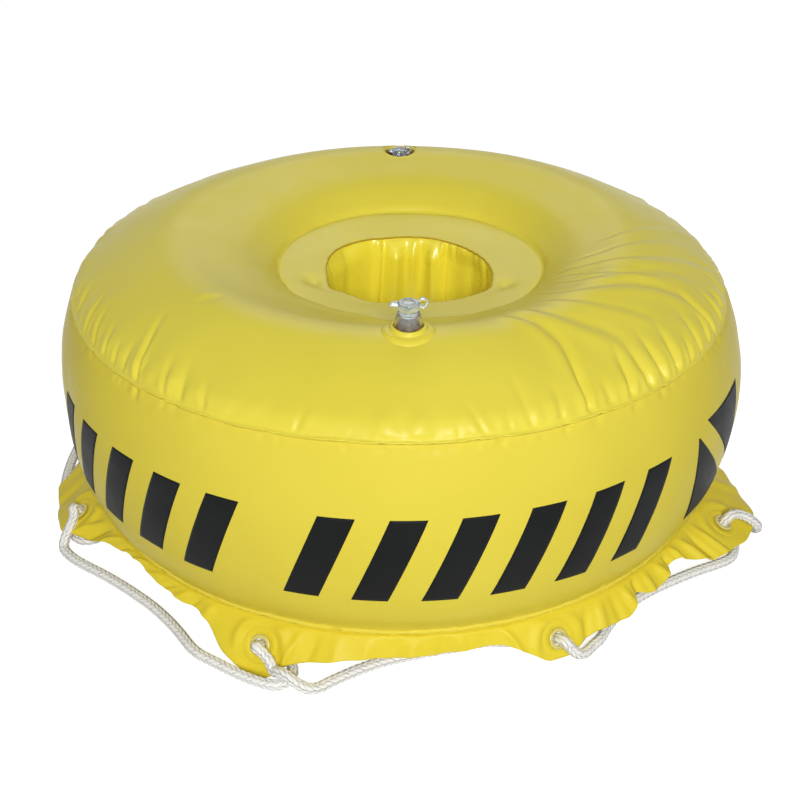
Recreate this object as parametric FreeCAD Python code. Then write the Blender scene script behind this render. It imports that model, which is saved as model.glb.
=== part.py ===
"""Inflatable surface marker buoy: a low ring of welded sheet with a hole through its middle.

Two bulged ring panels and an upright band are welded along two outer seams, and a sleeve lines
the hole between two flat weld rings.  A scalloped skirt hangs from the lower seam, with an
eyelet in each lobe, and a grab rope is threaded through the eyelets and knotted at the back.
The top panel carries two soft valves: the front one stands up, the rear one is pushed in.

Frame, in millimetres: origin on the floor under the middle of the ring, +Z up, the front of
the buoy towards -Y.  Azimuths are in degrees from the front, growing towards +X.
"""
import FreeCAD
import Part

import math
import os

V = FreeCAD.Vector

# ---- air chamber -------------------------------------------------------------------------------
PANEL_T = 0.8             # sheet thickness
SEAM_R = 285.0            # radius of the two outer weld seams
SEAM_LIP = 2.5            # how far a weld seam stands out
BOTTOM_SEAM_Z = 35.0      # height of the lower seam above the floor
BAND_H = 175.0            # height of the side band, seam to seam
BAND_BULGE = 20.0         # how far the side band swells past its seams
CROWN_RISE = 41.6         # how far the top panel swells above the upper seam
CONTACT_DIP = 1.0         # how much of the bottom panel's swell is pressed flat on the floor
HOLE_R = 77.0             # clear radius of the hole through the middle
RING_W = 41.0             # width of the flat weld ring round the hole
RING_RISE = 6.0           # how far the weld ring's outer edge stands above its inner edge
RING_SEAT_W = 4.0         # level inner margin of the weld ring, on the end of the sleeve

# ---- skirt, patches and eyelets ----------------------------------------------------------------
LOBES = 8
FIRST_LOBE_AZ = 22.5
SKIRT_T = 0.8
SKIRT_SLOPE = 54.0        # degrees below level
SKIRT_ROOT_W = 3.0        # level root of the skirt, seam radius to bend
WAIST_W = 14.0            # width of the skirt between two lobes, down the slope
LOBE_LEN = 40.0           # length of a lobe, down the slope
LOBE_R = 26.0             # radius of a lobe's rounded end, in plan
LOBE_FILLET_R = 32.0      # radius of the hollow beside a lobe, in plan
EYELET_PLAY = 2.2         # how much wider an eyelet's clear radius is than the rope's
EYELET_WALL = 0.8
EYELET_RIM_W = 3.2        # width of the eyelet's rolled rims
EYELET_RIM_T = 0.7
EYELET_CUT_REACH = 12.0   # half the length of the rods that cut the eyelets' holes
PATCH_SHOWS = 5.1         # how far the round patch behind an eyelet shows past its rim
PATCH_T = 0.5
PATCH_TO_TIP = 1.5        # from the patch's edge to the lobe's tip, down the slope

# ---- valves ------------------------------------------------------------------------------------
VALVE_R = 201.0           # distance of both valves from the middle
FRONT_VALVE_X = 6.0
REAR_VALVE_X = 0.0
FLANGE_H = 5.8            # raised round flange under the front valve
FLANGE_LIP_W = 1.4        # raised lip that hugs the valve's cone
FLANGE_LIP_DROP = 0.5     # fall of the lip's top towards the cone
FLANGE_CREST_W = 2.5      # from the lip's outer edge to the step
FLANGE_STEP_H = 3.4
FLANGE_STEP_W = 0.8
FLANGE_STEP_DROP = 0.4
FLANGE_SKIRT_W = 5.0      # from the step to the flange's outer edge
FLANGE_EDGE_H = 0.4
FLANGE_EDGE_W = 1.6
FLANGE_EDGE_RISE = 0.8
STEM_BASE_R = 11.2        # clear cone of the valve
STEM_TOP_R = 8.7
STEM_H = 16.4             # from the panel to the rim of the cone
STEM_WALL = 1.3
STEM_FOOT_T = 1.2
STEM_FLANGE_GAP = 0.4
TUBE_R = 6.0              # inner tube that the plug goes into
TUBE_WALL = 1.4
TUBE_TOP_DROP = 2.6       # from the cone's rim down to the top of the tube
TUBE_DEPTH = 16.0         # from the panel down to the end of the tube
PLUG_CLEARANCE = 0.2
PLUG_SHAFT_LEN = 14.0
COLLAR_CLEARANCE = 0.3    # between the plug's collar and the mouth of the cone
COLLAR_H = 6.0
HEAD_OVERHANG = 1.0       # how far the head stands out past the collar
HEAD_UNDERCUT = 1.0       # height of the slope from the collar out to the head
HEAD_BEVEL = 0.8
HEAD_H = 5.0
HEAD_RIM_W = 3.1          # rim round the dish in the head's top
HEAD_DISH_D = 1.0
TAB_OUT = 6.1             # from the head's edge to the end of its pull tab
TAB_W = 6.4
TAB_T = 2.0
JOIN_DEPTH = 2.0          # how far the tab and the eye's neck run into the head
EYE_OUT = 4.3             # from the head's edge to the middle of its ring eye
EYE_MAJOR_R = 3.1
EYE_MINOR_R = 1.25
EYE_LEAN = 35.0           # degrees that the ring eye leans back from upright
REAR_SINK = 20.5          # depth of the cup that the rear valve is pushed into
CUP_CLEARANCE = 0.75      # between the ring eye and the wall of the cup
CUP_LIP_W = 3.0
CUP_LIP_H = 1.2
CUP_LIP_EDGE_H = 0.5
CUP_LIP_BEVEL = 1.0

# ---- grab rope ---------------------------------------------------------------------------------
ROPE_R = 4.0
ROPE_GAP = 0.2            # between the rope and the floor
KNOT_LEN = 34.0
KNOT_BARREL_LEN = 17.0    # length over which the knot has its full radius
KNOT_R = 9.0
KNOT_END_R = 5.0
KNOT_AZ = 180.0
KNOT_OUT = 318.0          # from the buoy's middle to the knot's
TAIL_LEN = 20.0           # how far each tail stands out of the knot
TAIL_STEP = 6.0           # from the knot's middle to where a tail leaves it
TAIL_SPREAD = 0.4         # how much the tails spread, per unit of length
LOW = ROPE_R + ROPE_GAP   # height of the rope's middle where it lies on the floor

# At an eyelet the rope runs along the floor past the lobe's tip, turns back under the lobe, comes
# up through the eyelet, and falls over itself to the floor.  Points are (across, out, up) at the lobe.
ROPE_STITCH = [
    (-44, 316, LOW), (-24, 317.5, LOW), (-6, 318, LOW), (9, 317, LOW), (22, 311, LOW),
    (27, 298, LOW), (19, 289, 4.4), (1, 290.5, 6.6), (0.5, 313.2, 23.8), (11, 323, 11),
    (29, 323, 4.3), (48, 318, LOW),
]
# At the first lobe it arrives from behind, under the chamber's edge, and leaves closer in.
ROPE_STITCH_FROM_BEHIND = [
    (-36, 268, LOW), (-14, 279, 4.6), (0.5, 290.5, 6.6), (0.5, 313.2, 23.8), (12, 321.5, 11.5),
    (29, 316, 4.6), (47, 308, LOW),
]
LOBES_FROM_BEHIND = (0,)
# From each lobe to the next it lies on the floor.  Points are (across, out) half way between.
ROPE_SWAGS = [
    [(-52, 293), (-20, 288), (14, 292), (48, 301)],
    [(-52, 308), (-17, 303), (19, 302), (54, 306)],
    [(-53, 307), (-18, 305), (16, 302), (52, 304)],
    [],
    [(-55, 306), (-18, 301), (17, 300), (53, 304)],
    [(-52, 318), (-17, 322), (19, 322), (54, 318)],
    [(-50, 306), (-17, 302), (18, 300), (52, 303)],
    [(-50, 300), (-18, 286), (16, 276), (46, 269)],
]
ROPE_TO_KNOT = [(-58, 315.5, 5.0), (-37, KNOT_OUT, KNOT_R)]
ROPE_FROM_KNOT = [(37, KNOT_OUT, KNOT_R), (58, 315, 5.0)]

# ---- sizes that follow -------------------------------------------------------------------------
TOP_SEAM_Z = BOTTOM_SEAM_Z + BAND_H
RING_OUT_R = HOLE_R + RING_W
RING_T = 2 * PANEL_T
BEND_R = SEAM_R + SKIRT_ROOT_W
SLOPE = math.radians(SKIRT_SLOPE)
LOBE_PITCH = 360.0 / LOBES
EYELET_R = ROPE_R + EYELET_PLAY
PATCH_R = EYELET_R + EYELET_RIM_W + PATCH_SHOWS
EYELET_DOWN = LOBE_LEN - PATCH_TO_TIP - PATCH_R
COLLAR_R = STEM_TOP_R - STEM_WALL - COLLAR_CLEARANCE
HEAD_R = COLLAR_R + HEAD_OVERHANG
EYE_X = HEAD_R + EYE_OUT
CUP_R = EYE_X + EYE_MAJOR_R + EYE_MINOR_R + CUP_CLEARANCE


def around(azimuth, across, out, up):
    """Point given in the frame of an azimuth, as across, out and up."""
    a = math.radians(azimuth)
    return V(out * math.sin(a) + across * math.cos(a), -out * math.cos(a) + across * math.sin(a), up)


def arc(centre, radius, start, end):
    """Arc in the XZ plane about centre (x, z), from start to end (x, z), the short way round."""
    mid = V(start[0] + end[0] - 2 * centre[0], 0, start[1] + end[1] - 2 * centre[1])
    mid.normalize()
    mid = V(centre[0], 0, centre[1]) + mid * radius
    return Part.Arc(V(start[0], 0, start[1]), mid, V(end[0], 0, end[1])).toShape()


def line(start, end):
    return Part.makeLine(V(start[0], 0, start[1]), V(end[0], 0, end[1]))


def revolve(edges):
    """Ring swept by a closed outline in the XZ plane."""
    return Part.Face(Part.Wire(edges)).revolve(V(0, 0, 0), V(0, 0, 1), 360)


def lathe(points, base=V(0, 0, 0)):
    """Turned solid from an outline of (radius, height) points, standing on base."""
    edges = [line(a, b) for a, b in zip(points, points[1:] + points[:1])]
    solid = revolve(edges)
    solid.translate(base)
    return solid


def export(name, shape):
    if shape.ShapeType == "Compound" and len(shape.Solids) == 1:
        shape = shape.Solids[0]
    shape.exportStep("parts/" + name + ".step")
    print(name, "solids", len(shape.Solids), "volume", round(shape.Volume, 1), "valid", shape.isValid())


# ---- air chamber -------------------------------------------------------------------------------
def bulge_circle(apex):
    """Circle (centre radius, centre height, radius) of a bulged panel's outer side.

    Heights are measured outwards from the seam plane.  The circle touches the level apex and
    passes through the top of the seam lip and the outer edge of the weld ring.
    """
    r0, h0 = SEAM_R, apex - PANEL_T
    r1, h1 = RING_OUT_R, apex - RING_RISE - RING_T
    a = h1 - h0
    b = 2 * (r1 * h0 - r0 * h1)
    c = h1 * (r0 ** 2 + h0 ** 2) - h0 * (r1 ** 2 + h1 ** 2)
    if abs(a) < 1e-9:
        middle = -c / b
    else:
        root = math.sqrt(b * b - 4 * a * c)
        middle = min(((-b + root) / (2 * a), (-b - root) / (2 * a)),
                     key=lambda r: abs(r - (r0 + r1) / 2))
    radius = ((r0 - middle) ** 2 + h0 ** 2) / (2 * h0)
    return middle, apex - radius, radius


def circle_r(circle, height, side):
    return circle[0] + side * math.sqrt(circle[2] ** 2 - (height - circle[1]) ** 2)


def circle_h(circle, r):
    return circle[1] + math.sqrt(circle[2] ** 2 - (r - circle[0]) ** 2)


def bulged_panel(apex, seam_z, up, flat=None):
    """Ring panel from the seam lip to the weld ring; flat is the level of a pressed-flat face."""
    outer = bulge_circle(apex)
    inner = (outer[0], outer[1], outer[2] - PANEL_T)

    def place(point):
        return (point[0], seam_z + up * point[1])

    def side(circle, start, end, level):
        centre = place(circle[:2])
        if level is None:
            return [arc(centre, circle[2], place(start), place(end))]
        flats = [(circle_r(circle, level, +1), level), (circle_r(circle, level, -1), level)]
        if start[0] < end[0]:
            flats.reverse()
        return [arc(centre, circle[2], place(start), place(flats[0])),
                line(place(flats[0]), place(flats[1])),
                arc(centre, circle[2], place(flats[1]), place(end))]

    lip_top = (SEAM_R, PANEL_T)
    lip_out_top = (SEAM_R + SEAM_LIP, PANEL_T)
    lip_out = (SEAM_R + SEAM_LIP, 0)
    lip_in = (circle_r(inner, 0, +1), 0)
    ring_top = (RING_OUT_R, RING_RISE + RING_T)
    ring_low = (RING_OUT_R, circle_h(inner, RING_OUT_R))
    flat_in = None if flat is None else flat - PANEL_T
    edges = side(outer, lip_top, ring_top, flat)
    edges.append(line(place(ring_top), place(ring_low)))
    edges += side(inner, ring_low, lip_in, flat_in)
    edges.append(line(place(lip_in), place(lip_out)))
    edges.append(line(place(lip_out), place(lip_out_top)))
    edges.append(line(place(lip_out_top), place(lip_top)))
    return revolve(edges)


def panel_fill():
    """Everything under the top panel's outer side, used to seat the valves on it."""
    circle = bulge_circle(CROWN_RISE)
    start = (SEAM_R, TOP_SEAM_Z + PANEL_T)
    end = (RING_OUT_R, TOP_SEAM_Z + RING_RISE + RING_T)
    floor_z = TOP_SEAM_Z - 2 * TUBE_DEPTH
    return revolve([arc((circle[0], TOP_SEAM_Z + circle[1]), circle[2], start, end),
                    line(end, (end[0], floor_z)),
                    line((end[0], floor_z), (start[0], floor_z)),
                    line((start[0], floor_z), start)])


def side_band():
    low = BOTTOM_SEAM_Z + SKIRT_T
    half = (TOP_SEAM_Z - low) / 2
    radius = (half ** 2 + BAND_BULGE ** 2) / (2 * BAND_BULGE)
    centre = (SEAM_R + BAND_BULGE - radius, low + half)
    lip = (radius ** 2 - (half - PANEL_T) ** 2) ** 0.5 + centre[0]
    back = ((radius - PANEL_T) ** 2 - half ** 2) ** 0.5 + centre[0]
    out = SEAM_R + SEAM_LIP
    return revolve([
        arc(centre, radius, (lip, low + PANEL_T), (lip, TOP_SEAM_Z - PANEL_T)),
        line((lip, TOP_SEAM_Z - PANEL_T), (out, TOP_SEAM_Z - PANEL_T)),
        line((out, TOP_SEAM_Z - PANEL_T), (out, TOP_SEAM_Z)),
        line((out, TOP_SEAM_Z), (back, TOP_SEAM_Z)),
        arc(centre, radius - PANEL_T, (back, TOP_SEAM_Z), (back, low)),
        line((back, low), (out, low)),
        line((out, low), (out, low + PANEL_T)),
        line((out, low + PANEL_T), (lip, low + PANEL_T))])


def weld_ring(seam_z, up):
    outline = [(HOLE_R, 0), (HOLE_R + RING_SEAT_W, 0), (RING_OUT_R, RING_RISE),
               (RING_OUT_R, RING_RISE + RING_T), (HOLE_R + RING_SEAT_W, RING_T), (HOLE_R, RING_T)]
    return lathe([(r, seam_z + up * h) for r, h in outline])


def inner_sleeve():
    return lathe([(HOLE_R, BOTTOM_SEAM_Z), (HOLE_R + PANEL_T, BOTTOM_SEAM_Z),
                  (HOLE_R + PANEL_T, TOP_SEAM_Z), (HOLE_R, TOP_SEAM_Z)])


# ---- skirt, patches and eyelets ----------------------------------------------------------------
def lobe_azimuths():
    return [FIRST_LOBE_AZ + LOBE_PITCH * k for k in range(LOBES)]


def slope_sheet(lift, thickness, root):
    """Conical ring sheet down the skirt's slope, lift above the skirt's underside."""
    far = (LOBE_LEN + WAIST_W) * math.cos(SLOPE)

    def bend(height):
        return (BEND_R + height * math.tan(SLOPE / 2), BOTTOM_SEAM_Z + height)

    def end(height):
        return (BEND_R + far, BOTTOM_SEAM_Z - far * math.tan(SLOPE) + height / math.cos(SLOPE))

    low, high = lift, lift + thickness
    points = [bend(low), end(low), end(high), bend(high)]
    if root:
        inner = SEAM_R - PANEL_T
        points += [(inner, BOTTOM_SEAM_Z + high), (inner, BOTTOM_SEAM_Z + low)]
    return lathe(points)


def skirt_outline():
    """Upright prism with the skirt's scalloped plan."""
    waist_r = BEND_R + WAIST_W * math.cos(SLOPE)
    lobe_r = BEND_R + LOBE_LEN * math.cos(SLOPE) - LOBE_R
    fillet_r = waist_r + LOBE_FILLET_R
    reach = LOBE_R + LOBE_FILLET_R
    turn = math.degrees(math.acos((fillet_r ** 2 + lobe_r ** 2 - reach ** 2) / (2 * fillet_r * lobe_r)))
    edges = []
    for azimuth in lobe_azimuths():
        lobe = around(azimuth, 0, lobe_r, 0)
        tip = around(azimuth, 0, lobe_r + LOBE_R, 0)
        joins = []
        for side in (-1, 1):
            fillet = around(azimuth + side * turn, 0, fillet_r, 0)
            waist = around(azimuth + side * turn, 0, waist_r, 0)
            join = lobe + (fillet - lobe) * (LOBE_R / reach)
            middle = (waist + join) * 0.5 - fillet
            middle.normalize()
            ends = [waist, fillet + middle * LOBE_FILLET_R, join]
            joins.append(ends if side < 0 else ends[::-1])
        edges.append(Part.Arc(*joins[0]).toShape())
        edges.append(Part.Arc(joins[0][2], tip, joins[1][0]).toShape())
        edges.append(Part.Arc(*joins[1]).toShape())
        gap_end = around(azimuth + LOBE_PITCH - turn, 0, waist_r, 0)
        gap_middle = around(azimuth + LOBE_PITCH / 2, 0, waist_r, 0)
        edges.append(Part.Arc(joins[1][2], gap_middle, gap_end).toShape())
    face = Part.Face(Part.Wire(edges))
    return face.extrude(V(0, 0, BOTTOM_SEAM_Z * 2))


def eyelet_frames():
    """Middle of each eyelet on the skirt's upper side, and the skirt's normal there."""
    frames = []
    for azimuth in lobe_azimuths():
        out = EYELET_DOWN * math.cos(SLOPE)
        centre = around(azimuth, 0, BEND_R + out,
                        BOTTOM_SEAM_Z - out * math.tan(SLOPE) + SKIRT_T / math.cos(SLOPE))
        normal = around(azimuth, 0, math.sin(SLOPE), math.cos(SLOPE))
        frames.append((centre, normal))
    return frames


def rods(radius):
    """A rod square to the skirt at every eyelet, long enough to cross all its layers."""
    reach = EYELET_CUT_REACH
    return [Part.makeCylinder(radius, 2 * reach, c - n * reach, n) for c, n in eyelet_frames()]


def layer_discs(lift, thickness, radius, bore):
    """Discs cut from a layer of the slope round every eyelet, each with a hole."""
    sheet = slope_sheet(lift, thickness, root=False)
    return [sheet.common(rod).cut(hole) for rod, hole in zip(rods(radius), rods(bore))]


def skirt():
    solid = slope_sheet(0, SKIRT_T, root=True).common(skirt_outline())
    return solid.cut(Part.makeCompound(rods(EYELET_R + EYELET_WALL)))


def eyelet_patches():
    return Part.makeCompound(layer_discs(SKIRT_T, PATCH_T, PATCH_R, EYELET_R + EYELET_WALL))


def eyelets():
    """Flanged rings that clamp the skirt and its patch from both sides."""
    top = SKIRT_T + PATCH_T
    outer = EYELET_R + EYELET_RIM_W
    upper = layer_discs(top, EYELET_RIM_T, outer, EYELET_R)
    lower = layer_discs(-EYELET_RIM_T, EYELET_RIM_T, outer, EYELET_R)
    barrel = layer_discs(-EYELET_RIM_T, top + 2 * EYELET_RIM_T, EYELET_R + EYELET_WALL, EYELET_R)
    return Part.makeCompound([u.fuse([b, l]).removeSplitter() for u, l, b in zip(upper, lower, barrel)])


# ---- valves ------------------------------------------------------------------------------------
def valve_spot(x, y_side):
    """Point on the top panel's outer side where a valve's axis meets it."""
    y = y_side * VALVE_R
    circle = bulge_circle(CROWN_RISE)
    return V(x, y, TOP_SEAM_Z + circle_h(circle, math.hypot(x, y)))


def raised_flange(spot, fill):
    """Low stepped mound round the front valve, seated on the curved panel."""
    bore = STEM_BASE_R + STEM_FLANGE_GAP
    crest_r = bore + FLANGE_LIP_W
    step_r = crest_r + FLANGE_CREST_W
    edge_r = step_r + FLANGE_SKIRT_W
    mound = lathe([(bore, -FLANGE_H), (edge_r, -FLANGE_H), (edge_r, FLANGE_EDGE_H),
                   (edge_r - FLANGE_EDGE_W, FLANGE_EDGE_H + FLANGE_EDGE_RISE),
                   (step_r + FLANGE_STEP_W, FLANGE_STEP_H - FLANGE_STEP_DROP), (step_r, FLANGE_STEP_H),
                   (crest_r, FLANGE_H), (bore, FLANGE_H - FLANGE_LIP_DROP)], spot)
    return mound.cut(fill)


def cup_flange(spot, fill):
    """Cup that the rear valve sits in, hung from a thin lip on the panel."""
    lip_r = CUP_R + CUP_LIP_W
    tube_hole = TUBE_R + PLUG_CLEARANCE
    lip = lathe([(CUP_R, -CUP_LIP_H * 2), (lip_r, -CUP_LIP_H * 2), (lip_r, CUP_LIP_EDGE_H),
                 (lip_r - CUP_LIP_BEVEL, CUP_LIP_H), (CUP_R, CUP_LIP_H)], spot).cut(fill)
    cup = lathe([(CUP_R, CUP_LIP_H), (CUP_R, -REAR_SINK), (tube_hole, -REAR_SINK),
                 (tube_hole, -REAR_SINK - PANEL_T), (CUP_R + PANEL_T, -REAR_SINK - PANEL_T),
                 (CUP_R + PANEL_T, 0), (CUP_R + PANEL_T, CUP_LIP_H)], spot)
    return cup.fuse(lip).removeSplitter()


def stem(foot):
    """Clear cone with an inner tube, its foot at the given point."""
    inside = STEM_BASE_R - STEM_WALL
    tube_in = TUBE_R - TUBE_WALL
    tube_top = STEM_H - TUBE_TOP_DROP
    return lathe([(tube_in, -TUBE_DEPTH), (TUBE_R, -TUBE_DEPTH), (TUBE_R, 0), (STEM_BASE_R, 0),
                  (STEM_BASE_R, STEM_FOOT_T), (STEM_TOP_R, STEM_H), (STEM_TOP_R - STEM_WALL, STEM_H),
                  (inside, STEM_FOOT_T), (TUBE_R, STEM_FOOT_T), (TUBE_R, tube_top),
                  (tube_in, tube_top)], foot)


def seated_stem(spot, fill):
    """Front valve's cone, its foot cut to the curved panel."""
    whole = stem(spot - V(0, 0, STEM_FOOT_T / 2))
    tube = Part.makeCylinder(TUBE_R, 2 * TUBE_DEPTH, spot - V(0, 0, 2 * TUBE_DEPTH))
    below = fill.cut(tube)
    return whole.cut(below)


def plug(foot):
    """Plug with a shaft, a collar in the cone's mouth, a dished head, a pull tab and a ring eye."""
    shaft_r = TUBE_R - TUBE_WALL - PLUG_CLEARANCE
    seat = STEM_H - TUBE_TOP_DROP + PLUG_CLEARANCE
    head = seat + COLLAR_H
    top = head + HEAD_H
    dish_r = HEAD_R - HEAD_RIM_W
    body = lathe([(0, seat - PLUG_SHAFT_LEN), (shaft_r, seat - PLUG_SHAFT_LEN), (shaft_r, seat),
                  (COLLAR_R, seat), (COLLAR_R, head - HEAD_UNDERCUT), (HEAD_R, head),
                  (HEAD_R, top - HEAD_BEVEL), (HEAD_R - HEAD_BEVEL, top), (dish_r, top),
                  (dish_r, top - HEAD_DISH_D), (0, top - HEAD_DISH_D)])
    middle = head + HEAD_H / 2
    tab_round = TAB_W / 2
    tab_run = TAB_OUT - tab_round + JOIN_DEPTH
    tab_low = middle - TAB_T / 2
    tab_centre = V(-HEAD_R - TAB_OUT + tab_round, 0, tab_low)
    tab = Part.makeBox(tab_run, TAB_W, TAB_T, tab_centre - V(0, tab_round, 0))
    tab_end = Part.makeCylinder(tab_round, TAB_T, tab_centre)
    lean = math.radians(EYE_LEAN)
    eye = Part.makeTorus(EYE_MAJOR_R, EYE_MINOR_R, V(EYE_X, 0, middle),
                         V(0, -math.cos(lean), math.sin(lean)))
    neck = Part.makeCylinder(EYE_MINOR_R, EYE_OUT - EYE_MAJOR_R + JOIN_DEPTH,
                             V(HEAD_R - JOIN_DEPTH, 0, middle), V(1, 0, 0))
    solid = body.fuse([tab, tab_end, eye, neck])
    solid.translate(foot)
    return solid


# ---- grab rope ---------------------------------------------------------------------------------
def rope_route():
    """Points of the rope from one side of the knot, round all the lobes, to its other side."""
    start = around(KNOT_AZ, KNOT_LEN / 2, KNOT_OUT, KNOT_R)
    end = around(KNOT_AZ, -KNOT_LEN / 2, KNOT_OUT, KNOT_R)
    points = [start] + [around(KNOT_AZ, *p) for p in ROPE_FROM_KNOT]
    first = round((KNOT_AZ - FIRST_LOBE_AZ + LOBE_PITCH / 2) / LOBE_PITCH)
    for k in range(LOBES):
        index = (first + k) % LOBES
        azimuth = FIRST_LOBE_AZ + LOBE_PITCH * index
        stitch = ROPE_STITCH_FROM_BEHIND if index in LOBES_FROM_BEHIND else ROPE_STITCH
        points += [around(azimuth, *p) for p in stitch]
        points += [around(azimuth + LOBE_PITCH / 2, *p, LOW) for p in ROPE_SWAGS[index]]
    return points + [around(KNOT_AZ, *p) for p in ROPE_TO_KNOT] + [end]


def tube(points, radius):
    """Round tube along straight runs joined by arcs as large as the runs allow."""
    edges = []
    radii = []
    previous = points[0]
    for before, corner, after in zip(points, points[1:], points[2:]):
        back = before - corner
        ahead = after - corner
        run = min(back.Length, ahead.Length)
        half_turn = (math.pi - back.getAngle(ahead)) / 2
        reach = 0.45 * run
        radii.append(reach / math.tan(half_turn))
        back.normalize()
        ahead.normalize()
        start = corner + back * reach
        end = corner + ahead * reach
        middle = back + ahead
        middle.normalize()
        sag = radii[-1] * (1 / math.cos(half_turn) - 1)
        edges.append(Part.LineSegment(previous, start).toShape())
        edges.append(Part.Arc(start, corner + middle * sag, end).toShape())
        previous = end
    edges.append(Part.LineSegment(previous, points[-1]).toShape())
    path = Part.Wire(edges)
    heading = points[1] - points[0]
    section = Part.Wire(Part.makeCircle(radius, points[0], heading))
    solid = path.makePipeShell([section], True, False)
    share = solid.Volume / (math.pi * radius ** 2 * path.Length)
    print("rope length", round(path.Length), "tightest arcs", [round(r, 1) for r in sorted(radii)[:24]],
          "volume over section times length", round(share, 4))
    return solid


def rope_knot():
    """Barrel knot with two short tails, lying along the floor."""
    along = around(KNOT_AZ, 1, 0, 0)
    out = around(KNOT_AZ, 0, 1, 0)
    centre = around(KNOT_AZ, 0, KNOT_OUT, KNOT_R)
    half = KNOT_LEN / 2
    barrel = KNOT_BARREL_LEN / 2
    body = lathe([(0, -half), (KNOT_END_R, -half), (KNOT_R, -barrel), (KNOT_R, barrel),
                  (KNOT_END_R, half), (0, half)])
    body.Placement = FreeCAD.Placement(centre, FreeCAD.Rotation(V(0, 0, 1), along))
    for side in (-1, 1):
        foot = around(KNOT_AZ, side * TAIL_STEP, KNOT_OUT, LOW)
        tail = Part.makeCylinder(ROPE_R, KNOT_R + TAIL_LEN, foot, out + along * side * TAIL_SPREAD)
        body = body.fuse(tail)
    return body


# ---- assembly ----------------------------------------------------------------------------------
fill = panel_fill()
front = valve_spot(FRONT_VALVE_X, -1)
rear = valve_spot(REAR_VALVE_X, +1)
rear_foot = rear - V(0, 0, REAR_SINK)

top_panel = bulged_panel(CROWN_RISE, TOP_SEAM_Z, +1)
front_hole = Part.makeCylinder(TUBE_R + PLUG_CLEARANCE, 2 * TUBE_DEPTH, front - V(0, 0, TUBE_DEPTH))
rear_hole = Part.makeCylinder(CUP_R + PANEL_T, 2 * REAR_SINK, rear - V(0, 0, REAR_SINK))

os.makedirs("parts", exist_ok=True)
export("top_panel", top_panel.cut([front_hole, rear_hole]))
export("side_band", side_band())
export("bottom_panel", bulged_panel(BOTTOM_SEAM_Z + CONTACT_DIP, BOTTOM_SEAM_Z, -1, flat=BOTTOM_SEAM_Z))
export("inner_sleeve", inner_sleeve())
export("top_weld_ring", weld_ring(TOP_SEAM_Z, +1))
export("bottom_weld_ring", weld_ring(BOTTOM_SEAM_Z, -1))
export("skirt", skirt())
export("eyelet_patches", eyelet_patches())
export("eyelets", eyelets())
export("front_valve_flange", raised_flange(front, fill))
export("front_valve_stem", seated_stem(front, fill))
export("front_valve_plug", plug(front - V(0, 0, STEM_FOOT_T / 2)))
export("rear_valve_flange", cup_flange(rear, fill))
export("rear_valve_stem", stem(rear_foot))
export("rear_valve_plug", plug(rear_foot))
export("grab_rope", tube(rope_route(), ROPE_R))
export("rope_knot", rope_knot())
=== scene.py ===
"""Looks of the inflatable ring-shaped surface marker buoy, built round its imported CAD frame.

Lengths are in millimetres until a mesh is made, in the CAD's frame: origin on the floor under
the ring's middle, +Z up, front towards -Y.  Azimuths are in degrees from the front towards +X.
"""

import math

import bpy
import numpy as np
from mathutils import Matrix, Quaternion, Vector


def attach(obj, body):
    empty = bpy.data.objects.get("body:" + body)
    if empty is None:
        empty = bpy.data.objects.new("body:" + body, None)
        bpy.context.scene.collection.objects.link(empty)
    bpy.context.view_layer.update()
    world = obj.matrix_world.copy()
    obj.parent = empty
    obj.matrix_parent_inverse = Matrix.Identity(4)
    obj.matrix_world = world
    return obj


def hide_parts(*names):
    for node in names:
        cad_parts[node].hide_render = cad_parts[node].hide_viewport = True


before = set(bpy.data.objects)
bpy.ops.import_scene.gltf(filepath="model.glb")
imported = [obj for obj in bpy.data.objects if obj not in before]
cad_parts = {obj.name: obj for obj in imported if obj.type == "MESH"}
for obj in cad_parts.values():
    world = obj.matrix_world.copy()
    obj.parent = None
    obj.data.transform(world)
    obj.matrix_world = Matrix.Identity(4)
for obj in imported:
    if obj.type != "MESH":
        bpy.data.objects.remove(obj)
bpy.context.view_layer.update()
MM = 0.001

# ---- sizes shared with the CAD -----------------------------------------------------------------
FLOOR_SEAM_Z = 35.0
TOP_SEAM_Z = 210.0
LIP_R = 288.0             # edge of the weld lips, where the skirt bends down
BEND_Z = 34.5             # height of that bend
RING_OUT_R = 118.0
HOLE_R = 77.0
ROPE_R = 4.0
LOBES = 8
FIRST_LOBE_AZ = 22.5
LOBE_PITCH = 45.0
KNOT_AZ = 180.0


# ---- small helpers -----------------------------------------------------------------------------
def around(azimuth, across, out, up):
    """Point in the frame of an azimuth, as across, out and up."""
    a = math.radians(azimuth)
    return np.array([out * math.sin(a) + across * math.cos(a),
                     -out * math.cos(a) + across * math.sin(a), up])


def polar(azimuth, r, z):
    """Points at azimuths, radii and heights, which broadcast together."""
    a = np.radians(azimuth)
    a, r, z = np.broadcast_arrays(a, r, z)
    return np.stack([r * np.sin(a), -r * np.cos(a), z], -1)


def turn_between(a, b):
    """Signed difference a - b of azimuths, in degrees from -180 to 180."""
    return (a - b + 180.0) % 360.0 - 180.0


def smooth(t):
    """Eased step from 0 to 1."""
    t = np.clip(t, 0, 1)
    return t * t * (3 - 2 * t)


def even_azimuths(count, first=0.0):
    """Azimuths evenly spaced round the whole turn."""
    return first + np.arange(count) * 360 / count


def push_out(grid, azimuth, amount):
    """Moves a grid's points away from the axis."""
    grid[:, :, 0] += amount * np.sin(np.radians(azimuth))
    grid[:, :, 1] -= amount * np.cos(np.radians(azimuth))


def ends_dense(at, gaps):
    """Spacing of an outline's rows by their distance from its nearer end."""
    return lambda s, length: float(np.interp(min(s, length - s), at, gaps))


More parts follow.
